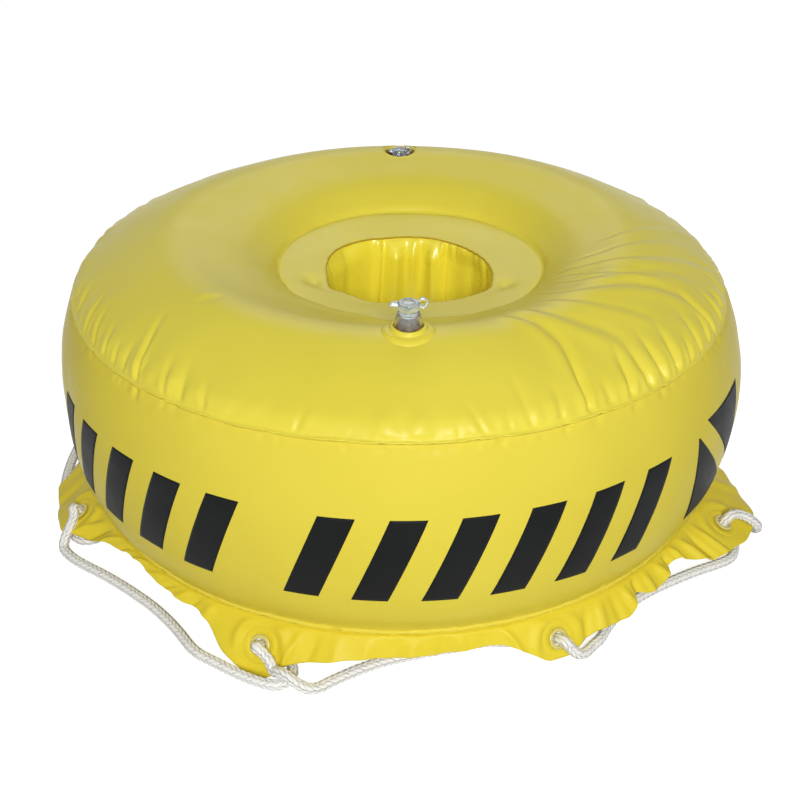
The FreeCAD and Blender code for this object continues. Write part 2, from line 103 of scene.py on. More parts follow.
def spline(knots, count):
    """Points along a Catmull-Rom curve through the knots, evenly spaced in the knots' index."""
    p = np.asarray(knots, float)
    p = np.vstack([2 * p[0] - p[1], p, 2 * p[-1] - p[-2]])
    t = np.linspace(0, len(knots) - 1, count)
    i = np.minimum(t.astype(int), len(knots) - 2)
    f = (t - i)[:, None]
    a, b, c, d = p[i], p[i + 1], p[i + 2], p[i + 3]
    return 0.5 * (2 * b + (c - a) * f + (2 * a - 5 * b + 4 * c - d) * f ** 2
                  + (3 * b - a - 3 * c + d) * f ** 3)


def even(points, count):
    """The same line with its points evenly spaced."""
    steps = np.linalg.norm(np.diff(points, axis=0), axis=1)
    run = np.concatenate([[0], np.cumsum(steps)])
    at = np.linspace(0, run[-1], count)
    return np.stack([np.interp(at, run, points[:, k]) for k in range(points.shape[1])], -1)


def wave(azimuth, seed, orders, fall=1.0):
    """Seeded wavy function of azimuth, about -1 to 1, made of whole-number orders."""
    draw = np.random.default_rng(seed)
    total = np.zeros_like(np.asarray(azimuth, float))
    scale = 0.0
    for n in orders:
        size = n ** -fall
        total = total + size * np.sin(np.radians(n * azimuth) + draw.uniform(0, 2 * np.pi))
        scale += size ** 2
    return total / math.sqrt(scale)


# ---- meshes ------------------------------------------------------------------------------------
def grid_faces(rows, columns, first=0, closed=True):
    """Quads of a grid whose columns run round; row 0 is the outer one and faces point outwards."""
    span = columns if closed else columns - 1
    r, c = np.meshgrid(np.arange(rows - 1), np.arange(span), indexing="ij")
    a = first + r * columns + c
    b = first + r * columns + (c + 1) % columns
    return np.stack([a, b, b + columns, a + columns], -1).reshape(-1, 4)


def tube_faces(rows, columns):
    """Quads of a grid that closes both ways."""
    return (grid_faces(rows + 1, columns) % (rows * columns)).tolist()


def make_mesh(name, points, faces, slot, node=None, body="buoy", uv=None):
    """Mesh object of points in millimetres, in place of a CAD node; uv has one (u, v) a face corner."""
    mesh = bpy.data.meshes.new(name)
    mesh.from_pydata((np.asarray(points) * MM).tolist(), [], [list(map(int, f)) for f in faces])
    if uv is not None:
        layer = mesh.uv_layers.new(name="UVMap")
        layer.data.foreach_set("uv", np.asarray(uv, np.float32).ravel())
    mesh.polygons.foreach_set("use_smooth", [True] * len(mesh.polygons))
    mesh.update()
    piece = bpy.data.objects.new(name, mesh)
    bpy.context.scene.collection.objects.link(piece)
    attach(piece, body)
    if node:
        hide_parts(node)
    return piece


def mark(piece, name, values):
    """Gives each of a piece's points a number, for its material."""
    layer = piece.data.attributes.new(name, "FLOAT", "POINT")
    layer.data.foreach_set("value", np.asarray(values, np.float32))


def turned(outline, sides):
    """Points of an outline of (radius, height) turned round a vertical axis, row by row."""
    outline = np.asarray(outline, float)
    a = np.linspace(0, 2 * np.pi, sides, endpoint=False)
    return np.stack([outline[:, :1] * np.cos(a), outline[:, :1] * np.sin(a),
                     np.repeat(outline[:, 1:], sides, 1)], -1).reshape(-1, 3)


def lathe_mesh(outline, sides, base=(0, 0, 0)):
    """Points and faces turned round a vertical axis from a closed outline of (radius, height)."""
    return turned(outline, sides) + np.asarray(base, float), tube_faces(len(outline), sides)


# ---- camera ------------------------------------------------------------------------------------
CAMERA_AT = Vector((0.9, -986.8, 667.3)) * MM
CAMERA_AIM = Vector((1.2, 0.0, 72.4)) * MM
CAMERA_ROLL = 0.209
camera_data = bpy.data.cameras.new("camera")
camera_data.lens = 54.0
camera_data.sensor_width = 36.0
camera_data.clip_start = 0.05
camera_data.clip_end = 50.0
camera = bpy.data.objects.new("camera", camera_data)
bpy.context.scene.collection.objects.link(camera)
camera.location = CAMERA_AT
camera.rotation_mode = "QUATERNION"
sight = (CAMERA_AIM - CAMERA_AT).normalized()
camera.rotation_quaternion = Quaternion(sight, math.radians(-CAMERA_ROLL)) @ sight.to_track_quat("-Z", "Y")
bpy.context.scene.camera = camera

# ---- air chamber -------------------------------------------------------------------------------
# Outlines run from the hole's lower edge out along the floor, up the side and in over the top, as
# (radius, height).  Heights of the side and the top are measured from the upper seam.
TOP_OUTLINE = [
    (288.0, 0.0), (287.9, 0.6), (287.2, 0.95), (286.2, 1.3), (285.4, 2.5), (283.3, 5.8), (280.2, 9.6),
    (275.4, 13.6), (264, 20.0), (252, 26.2), (240, 31.8), (228, 36.6), (216, 40.6), (208, 42.2),
    (200, 42.5), (192, 41.6), (184, 39.2), (172, 34.4), (160, 29.0), (148, 23.0), (136, 16.6),
    (126, 10.8), (121.5, 7.2), (119, 5.8), (116.5, 5.6),
]
BAND_OUTLINE = [
    (288.0, -174.4), (287.9, -173.8), (287.2, -173.4), (286.6, -172.6), (287.6, -170.5),
    (291.5, -164.5), (296, -156), (299.5, -146), (302.3, -134), (304.5, -120), (305.7, -102),
    (306, -90), (305.6, -72), (304.3, -58), (301.2, -40), (298.8, -30), (295.3, -20), (291.3, -10),
    (287.4, -3.4), (286.3, -1.6), (287.0, -1.0), (287.8, -0.6), (288.0, 0.0),
]
BOTTOM_OUTLINE = [
    (117, 29.0), (120, 27.2), (126, 23.7), (136, 18.2), (148, 12.0), (160, 6.2), (172, 1.9), (182, 0.6),
    (200, 0.45), (218, 0.6), (230, 2.3), (240, 5.4), (252, 10.6), (264, 17.4), (276, 24.7), (282, 30.0),
    (285.2, 33.4), (287.0, 34.6), (287.8, 34.9),
]
RING_SHIFT = 10.0         # how far the hole and its weld ring sit off to the side at the top
RING_SHIFT_LOW = 4.0
SHIFT_FROM_R = 205.0      # radius at which the top panel starts to follow the shifted ring


def outline_rows(outline, spacing):
    """Outline with rows spaced as spacing(distance along, whole length) says, and its normals."""
    dense = even(spline(outline, 60 * len(outline)), 4000)
    step = np.linalg.norm(np.diff(dense, axis=0), axis=1)
    run = np.concatenate([[0], np.cumsum(step)])
    at = [0.0]
    while at[-1] < run[-1]:
        at.append(at[-1] + spacing(at[-1], run[-1]))
    at = np.array(at) * run[-1] / at[-1]
    rows = np.stack([np.interp(at, run, dense[:, k]) for k in range(2)], -1)
    tangent = np.stack([np.interp(at, run, np.gradient(dense[:, k])) for k in range(2)], -1)
    tangent /= np.linalg.norm(tangent, axis=1, keepdims=True)
    return rows, np.stack([tangent[:, 1], -tangent[:, 0]], -1), at


def dense_then_wide(s, length):
    return float(np.interp(s, [0, 8, 60, 120, length], [0.75, 1.3, 2.4, 3.4, 2.4]))


def shell(points, back):
    """Faces of a closed shell: a grid that shows, and a coarser grid behind it.

    points and back are (rows, columns, 3) arrays; back has fewer columns that divide evenly."""
    rows, columns = points.shape[:2]
    back_rows, back_columns = back.shape[:2]
    first = rows * columns
    faces = grid_faces(rows, columns).tolist()
    faces += grid_faces(back_rows, back_columns, first)[:, ::-1].tolist()
    for row, back_row, flip in ((0, 0, True), (rows - 1, back_rows - 1, False)):
        for k in range(columns):
            a, b = row * columns + k, row * columns + (k + 1) % columns
            j = first + back_row * back_columns + k * back_columns // columns
            l = first + back_row * back_columns + (k + 1) * back_columns // columns % back_columns
            face = [a, b, l] if j == l else [a, b, l, j]
            faces.append(face[::-1] if flip else face)
    return np.vstack([points.reshape(-1, 3), back.reshape(-1, 3)]), faces


def revolved(rows, normals, azimuth, lift, z0, shift=None):
    """Grid of an outline turned about the axis, moved along its normals by lift."""
    r = rows[:, :1] + normals[:, :1] * lift
    z = z0 + rows[:, 1:] + normals[:, 1:] * lift
    grid = polar(azimuth[None, :], r, z)
    if shift is not None:
        grid[:, :, 0] += shift
    return grid


# Creases at the top seam: azimuth, reach inwards, depth, half width, and lean in degrees over 50 mm.
# Most azimuths here are rounded from the output of a script that projected points picked on the
# photograph onto the panel, and the first four folds below follow lines from it.  The rest is given.
TOP_CREASES = [
    (-79, 30, 1.6, 2.6, -8), (-73.5, 26, 1.8, 2.2, -10), (-69.5, 34, 2.2, 2.4, -10),
    (-65.5, 24, 1.4, 2.0, -9), (-62, 44, 2.4, 2.4, -9), (-57.6, 36, 2.2, 2.2, -9),
    (-53.3, 34, 2.2, 2.4, -7), (-50.2, 26, 1.8, 2.0, -5), (-47.4, 32, 1.6, 1.9, -4),
    (-43.4, 62, 3.6, 2.3, -5.5), (-37.2, 40, 1.7, 2.6, -4), (-34, 44, 1.2, 3.2, -3),
    (-29.5, 34, 1.1, 2.6, -3), (-25, 18, 0.5, 4.0, 0), (-21, 15, 0.4, 3.5, 0), (-14.8, 26, 1.1, 2.2, 2),
    (-9, 12, 0.4, 3.0, 0), (-4, 10, 0.4, 2.4, 0), (1, 12, 0.6, 2.4, 0), (5, 9, 0.4, 2.6, 0),
    (8.6, 14, 0.8, 2.2, 0), (12.6, 30, 1.4, 2.4, -4), (16, 22, 1.0, 2.4, 0), (19.6, 52, 1.5, 3.6, -1),
    (24.2, 36, 1.7, 3.6, 1), (29.1, 74, 3.2, 2.8, 1.5), (33, 30, 1.6, 3.2, 1), (37.1, 52, 3.4, 3.4, 3),
    (41.6, 50, 3.4, 3.6, 1), (44.9, 50, 3.6, 3.2, 2), (48.5, 46, 3.8, 3.2, 4), (52.4, 26, 2.6, 2.6, 5),
    (56, 40, 3.2, 3.0, 5), (59.7, 30, 2.8, 2.8, 6), (63.6, 52, 3.4, 2.8, 3), (68.3, 38, 2.8, 3.0, 5),
    (73, 28, 2.0, 3.0, 3), (79, 36, 2.2, 3.2, 2),
]
# Long soft folds over the top: half width, depth, and its line as (azimuth, radius).
TOP_FOLDS = [
    (5.0, 1.6, [(29.2, 286), (29.2, 270), (30, 252), (30.3, 236), (28.6, 212), (25, 190), (21, 168)]),
    (5.5, 1.8, [(63.6, 286), (64.6, 262), (63, 240), (58, 219), (51, 200), (46.5, 182),
                (46, 160), (50, 136)]),
    (5.5, 1.7, [(84, 286), (82.5, 262), (78, 236), (72.5, 214), (69, 190), (66.5, 160), (66, 134)]),
    (5.5, 1.8, [(43, 268), (41, 244), (37.5, 226), (33.5, 204), (31, 180), (32, 154), (36, 130)]),
    (4.5, 1.3, [(74, 268), (71, 240), (65, 218), (58, 196), (55, 170), (56, 144)]),
    (4.0, 1.0, [(54, 262), (51, 240), (46, 218), (41.5, 196), (39, 172), (42, 146)]),
    (3.5, 0.9, [(69, 250), (66, 228), (62, 206), (60, 184), (61, 158), (60, 138)]),
    (4.0, 1.0, [(92, 272), (89, 244), (83, 218), (78, 194), (74, 168), (72, 142)]),
    (4.0, 0.8, [(100, 276), (97, 250), (92, 222), (86, 194), (83, 166)]),
    (4.5, 0.8, [(-48, 214), (-46, 205), (-44, 196)]),
]


def seeded_creases(seed, start, end, gap, depth, reach, width=(2.6, 4.4)):
    """Creases at uneven steps from one azimuth to another, for the sides out of the light."""
    draw = np.random.default_rng(seed)
    made = []
    azimuth = start
    while azimuth < end:
        made.append((azimuth, draw.uniform(*reach), draw.uniform(*depth), draw.uniform(*width),
                     draw.uniform(-6, 6)))
        azimuth += draw.uniform(*gap)
    return made


def crease_lift(azimuth, s, r, marks):
    """Lift of short creases that run in from a seam; s is the distance from the seam."""
    lift = np.zeros((len(s), len(azimuth)))
    for middle, reach, depth, width, lean in marks:
        near = np.abs(turn_between(azimuth, middle)) < 14
        leaning = middle + lean * s[:, None] / 50
        x = turn_between(azimuth[near][None, :], leaning) * np.pi / 180 * r[:, None]
        w = 0.85 * width * (0.7 + 0.7 * s[:, None] / reach)
        along = smooth((s[:, None] + 1) / 7) * smooth(1.15 - s[:, None] / reach)
        valley = np.exp(-np.abs(x / w) ** 1.4)
        swell = np.exp(-((np.abs(x) - 2.4 * w) / (1.5 * w)) ** 2)
        lift[:, near] += depth * along * (0.32 * swell - 1.15 * valley)
    return lift


def fold_lift(grid, folds):
    """Lift of long folds: a ridge with a valley along one side, fading out at both ends."""
    lift = np.zeros(grid.shape[:2])
    flat = grid[:, :, :2]
    for width, depth, marks in folds:
        line = spline([polar(a, r, 0.0)[:2] for a, r in marks], 8 * len(marks))
        low, high = line.min(0) - 6 * width, line.max(0) + 6 * width
        near = ((flat > low) & (flat < high)).all(-1)
        p = flat[near]
        a, b = line[:-1], line[1:]
        ab = b - a
        t = np.clip(((p[:, None] - a) * ab).sum(-1) / (ab ** 2).sum(-1), 0, 1)
        offset = p[:, None] - (a + t[..., None] * ab)
        distance = np.linalg.norm(offset, axis=-1)
        best = distance.argmin(1)
        rows = np.arange(len(p))
        side = np.sign(ab[best, 0] * offset[rows, best, 1] - ab[best, 1] * offset[rows, best, 0])
        d = distance[rows, best] * side
        u = (best + t[rows, best]) / len(a)
        fade = smooth(u * 5) * smooth((1 - u) * 4)
        wide = width * (1.75 - 0.85 * u)
        ridge = 0.9 * np.exp(-((d - 0.8 * wide) / wide) ** 2)
        valley = 0.8 * np.exp(-((d + 0.6 * wide) / (0.75 * wide)) ** 2)
        lift[near] += depth * fade * (ridge - valley)
    return lift


def bulge_of(azimuth, r):
    """How much fuller the inner slope is away from the front."""
    from_front = np.abs(turn_between(azimuth, 0))
    return 5.5 * smooth((from_front - 20) / 70) * np.exp(-((r - 146) / 26) ** 2)


def shift_towards(far):
    """Sideways shift of a panel by radius, up to far where it meets its weld ring."""
    return lambda r: far * smooth((SHIFT_FROM_R - r) / (SHIFT_FROM_R - RING_OUT_R))


top_shift = shift_towards(RING_SHIFT)
bottom_shift = shift_towards(RING_SHIFT_LOW)
COLUMNS = 960
BACK_COLUMNS = 240
azimuths = even_azimuths(COLUMNS)
back_azimuths = even_azimuths(BACK_COLUMNS)
top_rows, top_normals, top_s = outline_rows(TOP_OUTLINE, dense_then_wide)
creases = (TOP_CREASES + seeded_creases(5, 86, 282, (4.0, 9.0), (0.8, 2.6), (14, 44))
           + seeded_creases(15, -84, -40, (1.8, 3.6), (0.3, 0.9), (7, 24), (1.1, 1.7))
           + seeded_creases(16, 34, 84, (2.2, 4.4), (0.3, 0.8), (8, 22), (1.2, 1.9))
           + seeded_creases(17, -22, 34, (2.0, 4.6), (0.2, 0.6), (6, 12), (1.4, 2.4)))


def top_soft(azimuth, rows):
    """Broad unevenness of the top panel."""
    r = rows[:, :1]
    near_seam = smooth((r - 225) / 55)
    front = smooth(1.3 - np.abs(turn_between(azimuth, -4.0)) / 60)[None, :]
    swell = (3.2 + 0.9 * wave(azimuth, 13, range(6, 18), 0.4))[None, :] * front
    return (swell * smooth((r - 118) / 6) * np.exp(-((r - 126) / 15) ** 2)
            + 0.45 * wave(azimuth, 14, range(44, 90, 3), 0.1)[None, :] * np.exp(-((r - 279) / 7) ** 2)
            + 0.7 * wave(azimuth, 11, range(3, 9))[None, :] * smooth((r - 150) / 60)
            + 0.5 * wave(azimuth, 12, range(14, 34), 0.4)[None, :] * near_seam
            + bulge_of(azimuth[None, :], r))


free = smooth((top_s - 1.5) / 6)[:, None] * smooth((top_rows[:, :1] - 117) / 6)
top_flat = revolved(top_rows, top_normals, azimuths, 0.0, TOP_SEAM_Z)
top_lift = free * (top_soft(azimuths, top_rows) + fold_lift(top_flat, TOP_FOLDS)
                   + crease_lift(azimuths, top_s, top_rows[:, 0], creases))
top_grid = revolved(
    top_rows, top_normals, azimuths, top_lift, TOP_SEAM_Z, top_shift(top_rows[:, :1]))


def seam_waver(azimuth, seed, nick=1.4):
    """Uneven edge of a weld seam: how far it stands out, and how far it rises."""
    draw = np.random.default_rng(seed)
    out = 0.4 * wave(azimuth, seed, range(40, 160, 3), 0.2)
    rise = 0.5 * wave(azimuth, seed + 1, range(9, 40), 0.5)
    for middle in draw.uniform(0, 360, 120):
        nicked = np.exp(-(turn_between(azimuth, middle) / 0.4) ** 2)
        out = out - draw.uniform(0.3 * nick, nick) * nicked
    return out, rise


def waver(grid, azimuth, rows, seed, seam_z, nick=1.4):
    """Moves the rows at a seam's lip with the seam's uneven edge."""
    out, rise = seam_waver(azimuth, seed, nick)
    stands = smooth((rows[:, :1] - (LIP_R - 1.6)) / 2.4)
    close = smooth(1.4 - np.abs(rows[:, 1:] - seam_z) / 7)
    push_out(grid, azimuth, stands * close * out)
    grid[:, :, 2] += close * rise


TOP_SEAM_SEED = 31
waver(top_grid, azimuths, top_rows, TOP_SEAM_SEED, 0.0)


def picked(count, step):
    """Every step-th row number, with the last one too."""
    return np.unique(np.append(np.arange(0, count, step), count - 1))


def back_of(rows, normals, along, step, z0, shift=None, depth=5.0):
    """Coarse inner side of a sheet: close behind it at both ends, well behind it between them."""
    keep = picked(len(rows), step)
    s = along[keep]
    sink = 0.3 + (depth - 0.3) * smooth(np.minimum(s, along[-1] - s) / 16)
    return revolved(rows[keep], normals[keep], back_azimuths, -sink[:, None], z0,
                    None if shift is None else shift(rows[keep][:, :1]))


def punch(points, faces, middle, radius, reach=2.0):
    """Cuts a round hole through a sheet: near points move to its edge, and inner faces go."""
    away = points[:, :2] - middle
    distance = np.linalg.norm(away, axis=1)
    snap = np.abs(distance - radius) < reach
    points[snap, :2] = middle + away[snap] / distance[snap, None] * radius
    kept = []
    for face in faces:
        centre = points[face, :2].mean(0) - middle
        if centre @ centre > (radius - 0.15) ** 2:
            kept.append(face)
    return kept


FRONT_VALVE = np.array([7.2, -198.8])
REAR_VALVE = np.array([0.0, 201.0])
TUBE_HOLE_R = 6.3
CUP_R = 17.6

top_points, top_faces = shell(
    top_grid, back_of(top_rows, top_normals, top_s, 4, TOP_SEAM_Z, top_shift))
top_faces = punch(top_points, top_faces, FRONT_VALVE, TUBE_HOLE_R)
top_faces = punch(top_points, top_faces, REAR_VALVE, CUP_R)
top_panel = make_mesh("top_panel_sheet", top_points, top_faces, "yellow_sheet", "top_panel")

# Side band.
band_rows, band_normals, band_s = outline_rows(
    BAND_OUTLINE, ends_dense([0, 6, 30, 90], [0.7, 1.1, 3.2, 4.2]))
BAND_CREASES = [
    (-43.6, 14, 2.2, 2.4, 3), (-61, 9, 0.8, 2.4, 0), (-53, 8, 0.8, 2.2, 0), (-30, 10, 0.5, 3, 0),
    (29.5, 12, 1.0, 3, 0), (38, 10, 0.7, 2.5, 0), (46, 9, 0.7, 2.5, 0), (57, 9, 0.8, 2.5, 0),
    (64, 10, 1.0, 2.5, 0),
]
from_top = band_s[-1] - band_s
band_lift = (smooth(np.minimum(band_s, from_top) / 12)[:, None]
             * (0.8 * wave(azimuths, 21, range(2, 8))[None, :]
                + 0.25 * wave(azimuths, 22, range(12, 28), 0.5)[None, :]))
band_marks = BAND_CREASES + seeded_creases(6, 84, 276, (5, 11), (0.4, 1.6), (6, 18))
fuller = (6.0 * np.exp(-(turn_between(azimuths, 92) / 24) ** 2)
          - 3.5 * np.exp(-(turn_between(azimuths, -88) / 22) ** 2))
band_lift += fuller[None, :] * np.exp(-((band_rows[:, 1:] + 88) / 42) ** 2)
band_lift += (smooth((from_top[:, None] - 1.5) / 4)
              * crease_lift(azimuths, from_top, band_rows[:, 0], band_marks))
low_marks = seeded_creases(7, -178, 178, (3, 9), (0.3, 1.3), (5, 14))
band_lift += (smooth((band_s[:, None] - 1.5) / 4)
              * crease_lift(azimuths, band_s, band_rows[:, 0], low_marks))
band_grid = revolved(band_rows, band_normals, azimuths, band_lift, TOP_SEAM_Z)
waver(band_grid, azimuths, band_rows, TOP_SEAM_SEED, 0.0)
waver(band_grid, azimuths, band_rows, 41, FLOOR_SEAM_Z - TOP_SEAM_Z, 0.3)
band_points, band_faces = shell(band_grid, back_of(band_rows, band_normals, band_s, 4, TOP_SEAM_Z))
side_band = make_mesh("side_band_sheet", band_points, band_faces, "yellow_sheet", "side_band")

# Bottom panel.
FLOOR_COLUMNS = 480
floor_azimuths = even_azimuths(FLOOR_COLUMNS)
bottom_rows, bottom_normals, bottom_s = outline_rows(
    BOTTOM_OUTLINE, lambda s, length: float(np.interp(length - s, [0, 8, 60], [1.0, 2.0, 6.0])))
from_seam = bottom_s[-1] - bottom_s
bottom_marks = seeded_creases(8, -178, 178, (4, 9), (0.6, 2.0), (12, 36))
bottom_lift = (smooth((from_seam - 2) / 8)[:, None] * smooth((bottom_rows[:, 1:] - 1.5) / 6)
               * crease_lift(floor_azimuths, from_seam, bottom_rows[:, 0], bottom_marks))
bottom_grid = revolved(
    bottom_rows, bottom_normals, floor_azimuths, bottom_lift, 0.0, bottom_shift(bottom_rows[:, :1]))
bottom_points, bottom_faces = shell(
    bottom_grid, back_of(bottom_rows, bottom_normals, bottom_s, 3, 0.0, bottom_shift))
bottom_panel = make_mesh("bottom_panel_sheet", bottom_points, bottom_faces, "yellow_sheet", "bottom_panel")

# Weld rings round the hole, top and bottom.
RING_TOP = [
    (118.2, 5.0), (118.4, 5.8), (117.8, 6.3), (114, 6.5), (104, 5.5), (92, 3.9), (82, 2.5), (76.6, 1.9),
    (75.3, 1.4), (74.9, 0.6),
]


# Dips of the top weld ring beside the hole: azimuth, depth, half width in degrees, and radius.
RING_DIPS = [
    (-70, 3.6, 7, 90), (66, 3.2, 6, 90), (-25, 1.0, 10, 78), (150, 1.2, 12, 80), (-160, 1.2, 9, 80),
]


def ring_dent(azimuth, r):
    """Height of the top weld ring over its even shape: dips beside the hole and slow waves."""
    dips = sum(depth * np.exp(-(turn_between(azimuth, middle) / width) ** 2) * np.exp(-((r - at) / 8) ** 2)
               for middle, depth, width, at in RING_DIPS)
    return -dips + 0.5 * wave(azimuth, 51, range(2, 9)) * (1 + 0 * r)


# How far the hole's edge stands out beyond its even radius, by azimuth.  Most rows are rounded from
# the output of a script that projected points picked on the photograph onto the ring.
HOLE_EDGE = [
    (-165, -2.5), (-145, 0.3), (-134, 2.6), (-122, 4.0), (-109, 2.7), (-99, 1.2), (-83, 0.5),
    (-75, 1.6), (-69, 3.4), (-63, 5.6), (-59, 6.2), (-55, 4.6), (-49.5, 1.2), (-39.5, 0.2), (-30, 0.2),
    (-21, -1.5), (-7, -3.0), (11.6, -2.8), (30, -1.0), (44.5, 1.4), (53, 4.4), (58, 5.6), (63, 4.4),
    (75, 0.5), (97, -3.8), (113, -5.6), (130, -5.6), (156.6, -3.2), (176, -3.0),
]


def hole_edge(azimuth):
    """How far the hole's edge strays from its even radius."""
    table = np.array(HOLE_EDGE)
    stray = np.interp(turn_between(azimuth, 0), table[:, 0], table[:, 1], period=360)
    return stray + 0.18 * wave(azimuth, 53, range(20, 60), 0.3)


def ring_sheet(name, grid, behind, node):
    """Weld ring from the grid of its outer side, with a coarser grid behind it."""
    back = grid[picked(len(grid), 2)][:, ::2].copy()
    back[1:-1, :, 2] += behind
    return make_mesh(name, *shell(grid, back), "yellow_sheet", node)


RING_BACK = 1.5           # how far behind a weld ring's outer side its back lies
ring_rows, ring_normals, _ = outline_rows(RING_TOP, ends_dense([0, 3, 12], [0.5, 1.2, 3.4]))
ring_r = ring_rows[:, :1]
ring_grid = revolved(ring_rows, ring_normals, floor_azimuths, 0.0, TOP_SEAM_Z)
ring_grid[:, :, 2] += ring_dent(floor_azimuths[None, :], ring_r)
stray = hole_edge(floor_azimuths)[None, :] * smooth((96 - ring_r) / 18)
push_out(ring_grid, floor_azimuths, stray)
ring_grid[:, :, 0] += RING_SHIFT
top_ring = ring_sheet("top_ring_sheet", ring_grid, -RING_BACK, "top_weld_ring")

RING_BOTTOM = [
    (76.9, 34.5), (77.6, 33.2), (82, 32.0), (92, 30.6), (104, 28.8), (114, 27.1), (117.8, 26.8),
    (118.4, 27.6), (118.2, 28.9),
]
low_rows, low_normals, _ = outline_rows(RING_BOTTOM, ends_dense([0, 3, 12], [0.7, 1.6, 4.5]))
low_grid = revolved(low_rows, low_normals, floor_azimuths, 0.0, 0.0, RING_SHIFT_LOW)
bottom_ring = ring_sheet("bottom_ring_sheet", low_grid, RING_BACK, "bottom_weld_ring")

# Sleeve through the hole.
SLEEVE_COLUMNS = 480
sleeve_azimuths = even_azimuths(SLEEVE_COLUMNS)
SLEEVE_OUTLINE = [
    (78.0, 211.4), (76.2, 210.6), (75.6, 209.0), (74.0, 204), (72.6, 197), (72.0, 188), (72.2, 160),
    (73, 120), (74.4, 80), (75.8, 55), (76.8, 40), (77.8, 34.6), (79.5, 33.6),
]
# Folds of the sleeve: azimuth at the top and at the bottom, depth, half width, and reach down.
SLEEVE_FOLDS = [
    (-159, -156, 3.0, 4.2, 150), (151, 153, 2.6, 2.6, 150), (128, 126, 1.2, 9.0, 120),
    (-125, -127, 1.2, 9.0, 120), (143, 143, 1.2, 2.6, 24), (-103, -104, 1.4, 6.0, 90),
    (104, 106, 1.6, 5.0, 60), (-60, -62, 1.4, 7, 90), (55, 57, 1.4, 7, 90), (0, 2, 1.2, 8, 120),
]
BELLY_START = 19.0        # depth below the edge at which a belly is full
# Soft bellies below the hole's back edge: azimuth, depth, half width, and reach down.
SLEEVE_BELLIES = [(-168.5, 13.0, 11.0, 120), (176.4, 8.0, 6.5, 80), (159, 11.0, 9.0, 110)]
SLEEVE_LENGTH = 178.0     # over which a fold passes from its upper azimuth to its lower one
sleeve_rows, sleeve_normals, sleeve_s = outline_rows(
    SLEEVE_OUTLINE, ends_dense([0, 4, 40, 80], [0.8, 1.6, 4.0, 7.0]))
sleeve_lift = 1.0 * wave(sleeve_azimuths, 61, range(2, 8), 0.7)[None, :] * np.ones((len(sleeve_rows), 1))
for top_az, low_az, depth, width, reach in SLEEVE_FOLDS:
    middle = top_az + turn_between(low_az, top_az) * sleeve_s[:, None] / SLEEVE_LENGTH
    x = turn_between(sleeve_azimuths[None, :], middle) * np.pi / 180 * HOLE_R
    along = smooth(1.25 - sleeve_s[:, None] / reach)
    sleeve_lift += depth * along * (np.exp(-((x - 0.9 * width) / width) ** 2)
                                    - 0.8 * np.exp(-((x + 0.5 * width) / (0.7 * width)) ** 2))
for middle, depth, width, reach in SLEEVE_BELLIES:
    x = turn_between(sleeve_azimuths[None, :], middle) * np.pi / 180 * HOLE_R
    down = sleeve_s[:, None] - 1.5
    sleeve_lift += (depth * np.clip(down / BELLY_START, 0, 1)
                    * smooth((reach - down) / (reach - BELLY_START)) * np.exp(-(x / width) ** 2))
sleeve_lift *= smooth((sleeve_s - 1) / 5)[:, None] * smooth((sleeve_s[-1] - sleeve_s) / 20)[:, None]
sleeve_shift = np.interp(sleeve_rows[:, 1:], [35, 110, 211], [RING_SHIFT_LOW, 6.5, RING_SHIFT])
sleeve_grid = revolved(sleeve_rows, sleeve_normals, sleeve_azimuths, sleeve_lift, 0.0, sleeve_shift)
at_top = smooth((sleeve_rows[:, 1:] - 190) / 20)
stray = hole_edge(sleeve_azimuths)[None, :] * at_top
push_out(sleeve_grid, sleeve_azimuths, stray)
sleeve_grid[:, :, 2] += at_top * ring_dent(sleeve_azimuths[None, :], HOLE_R)
keep = picked(len(sleeve_rows), 2)
sleeve_back = sleeve_grid[keep][:, ::2].copy()
outwards = polar(sleeve_azimuths[::2], 1.0, 0.0)[None]
from_end = np.minimum(sleeve_s, sleeve_s[-1] - sleeve_s)[keep]
sleeve_back += outwards * np.interp(from_end, [0, 6], [0.0, 0.9])[:, None, None]
sleeve = make_mesh("sleeve_sheet", *shell(sleeve_grid, sleeve_back), "yellow_sheet", "inner_sleeve")

# Cut edge of the top weld ring, a thin strip round the hole painted dark brown: painted shade of the gap
# between the ring and the sleeve.
EDGE_ROWS = [(75.2, 0.4), (74.6, 0.3), (74.4, -0.1), (74.5, -0.7), (74.9, -1.0), (75.6, -0.9)]
edge_r = np.array(EDGE_ROWS)[:, :1] + hole_edge(sleeve_azimuths)[None, :]
edge_z = TOP_SEAM_Z + 1.0 + np.array(EDGE_ROWS)[:, 1:] + ring_dent(sleeve_azimuths[None, :], HOLE_R)
edge_grid = polar(sleeve_azimuths[None, :], edge_r, edge_z)
edge_grid[:, :, 0] += RING_SHIFT
edge_faces = tube_faces(len(EDGE_ROWS), SLEEVE_COLUMNS)
cut_edge = make_mesh("ring_cut_edge", edge_grid.reshape(-1, 3), edge_faces, "yellow_sheet")

# ---- skirt -------------------------------------------------------------------------------------
SKIRT_T = 0.8
FLOOR_CLEAR = 1.3
SKIRT_COLUMNS = 1152
SKIRT_ROWS = 27
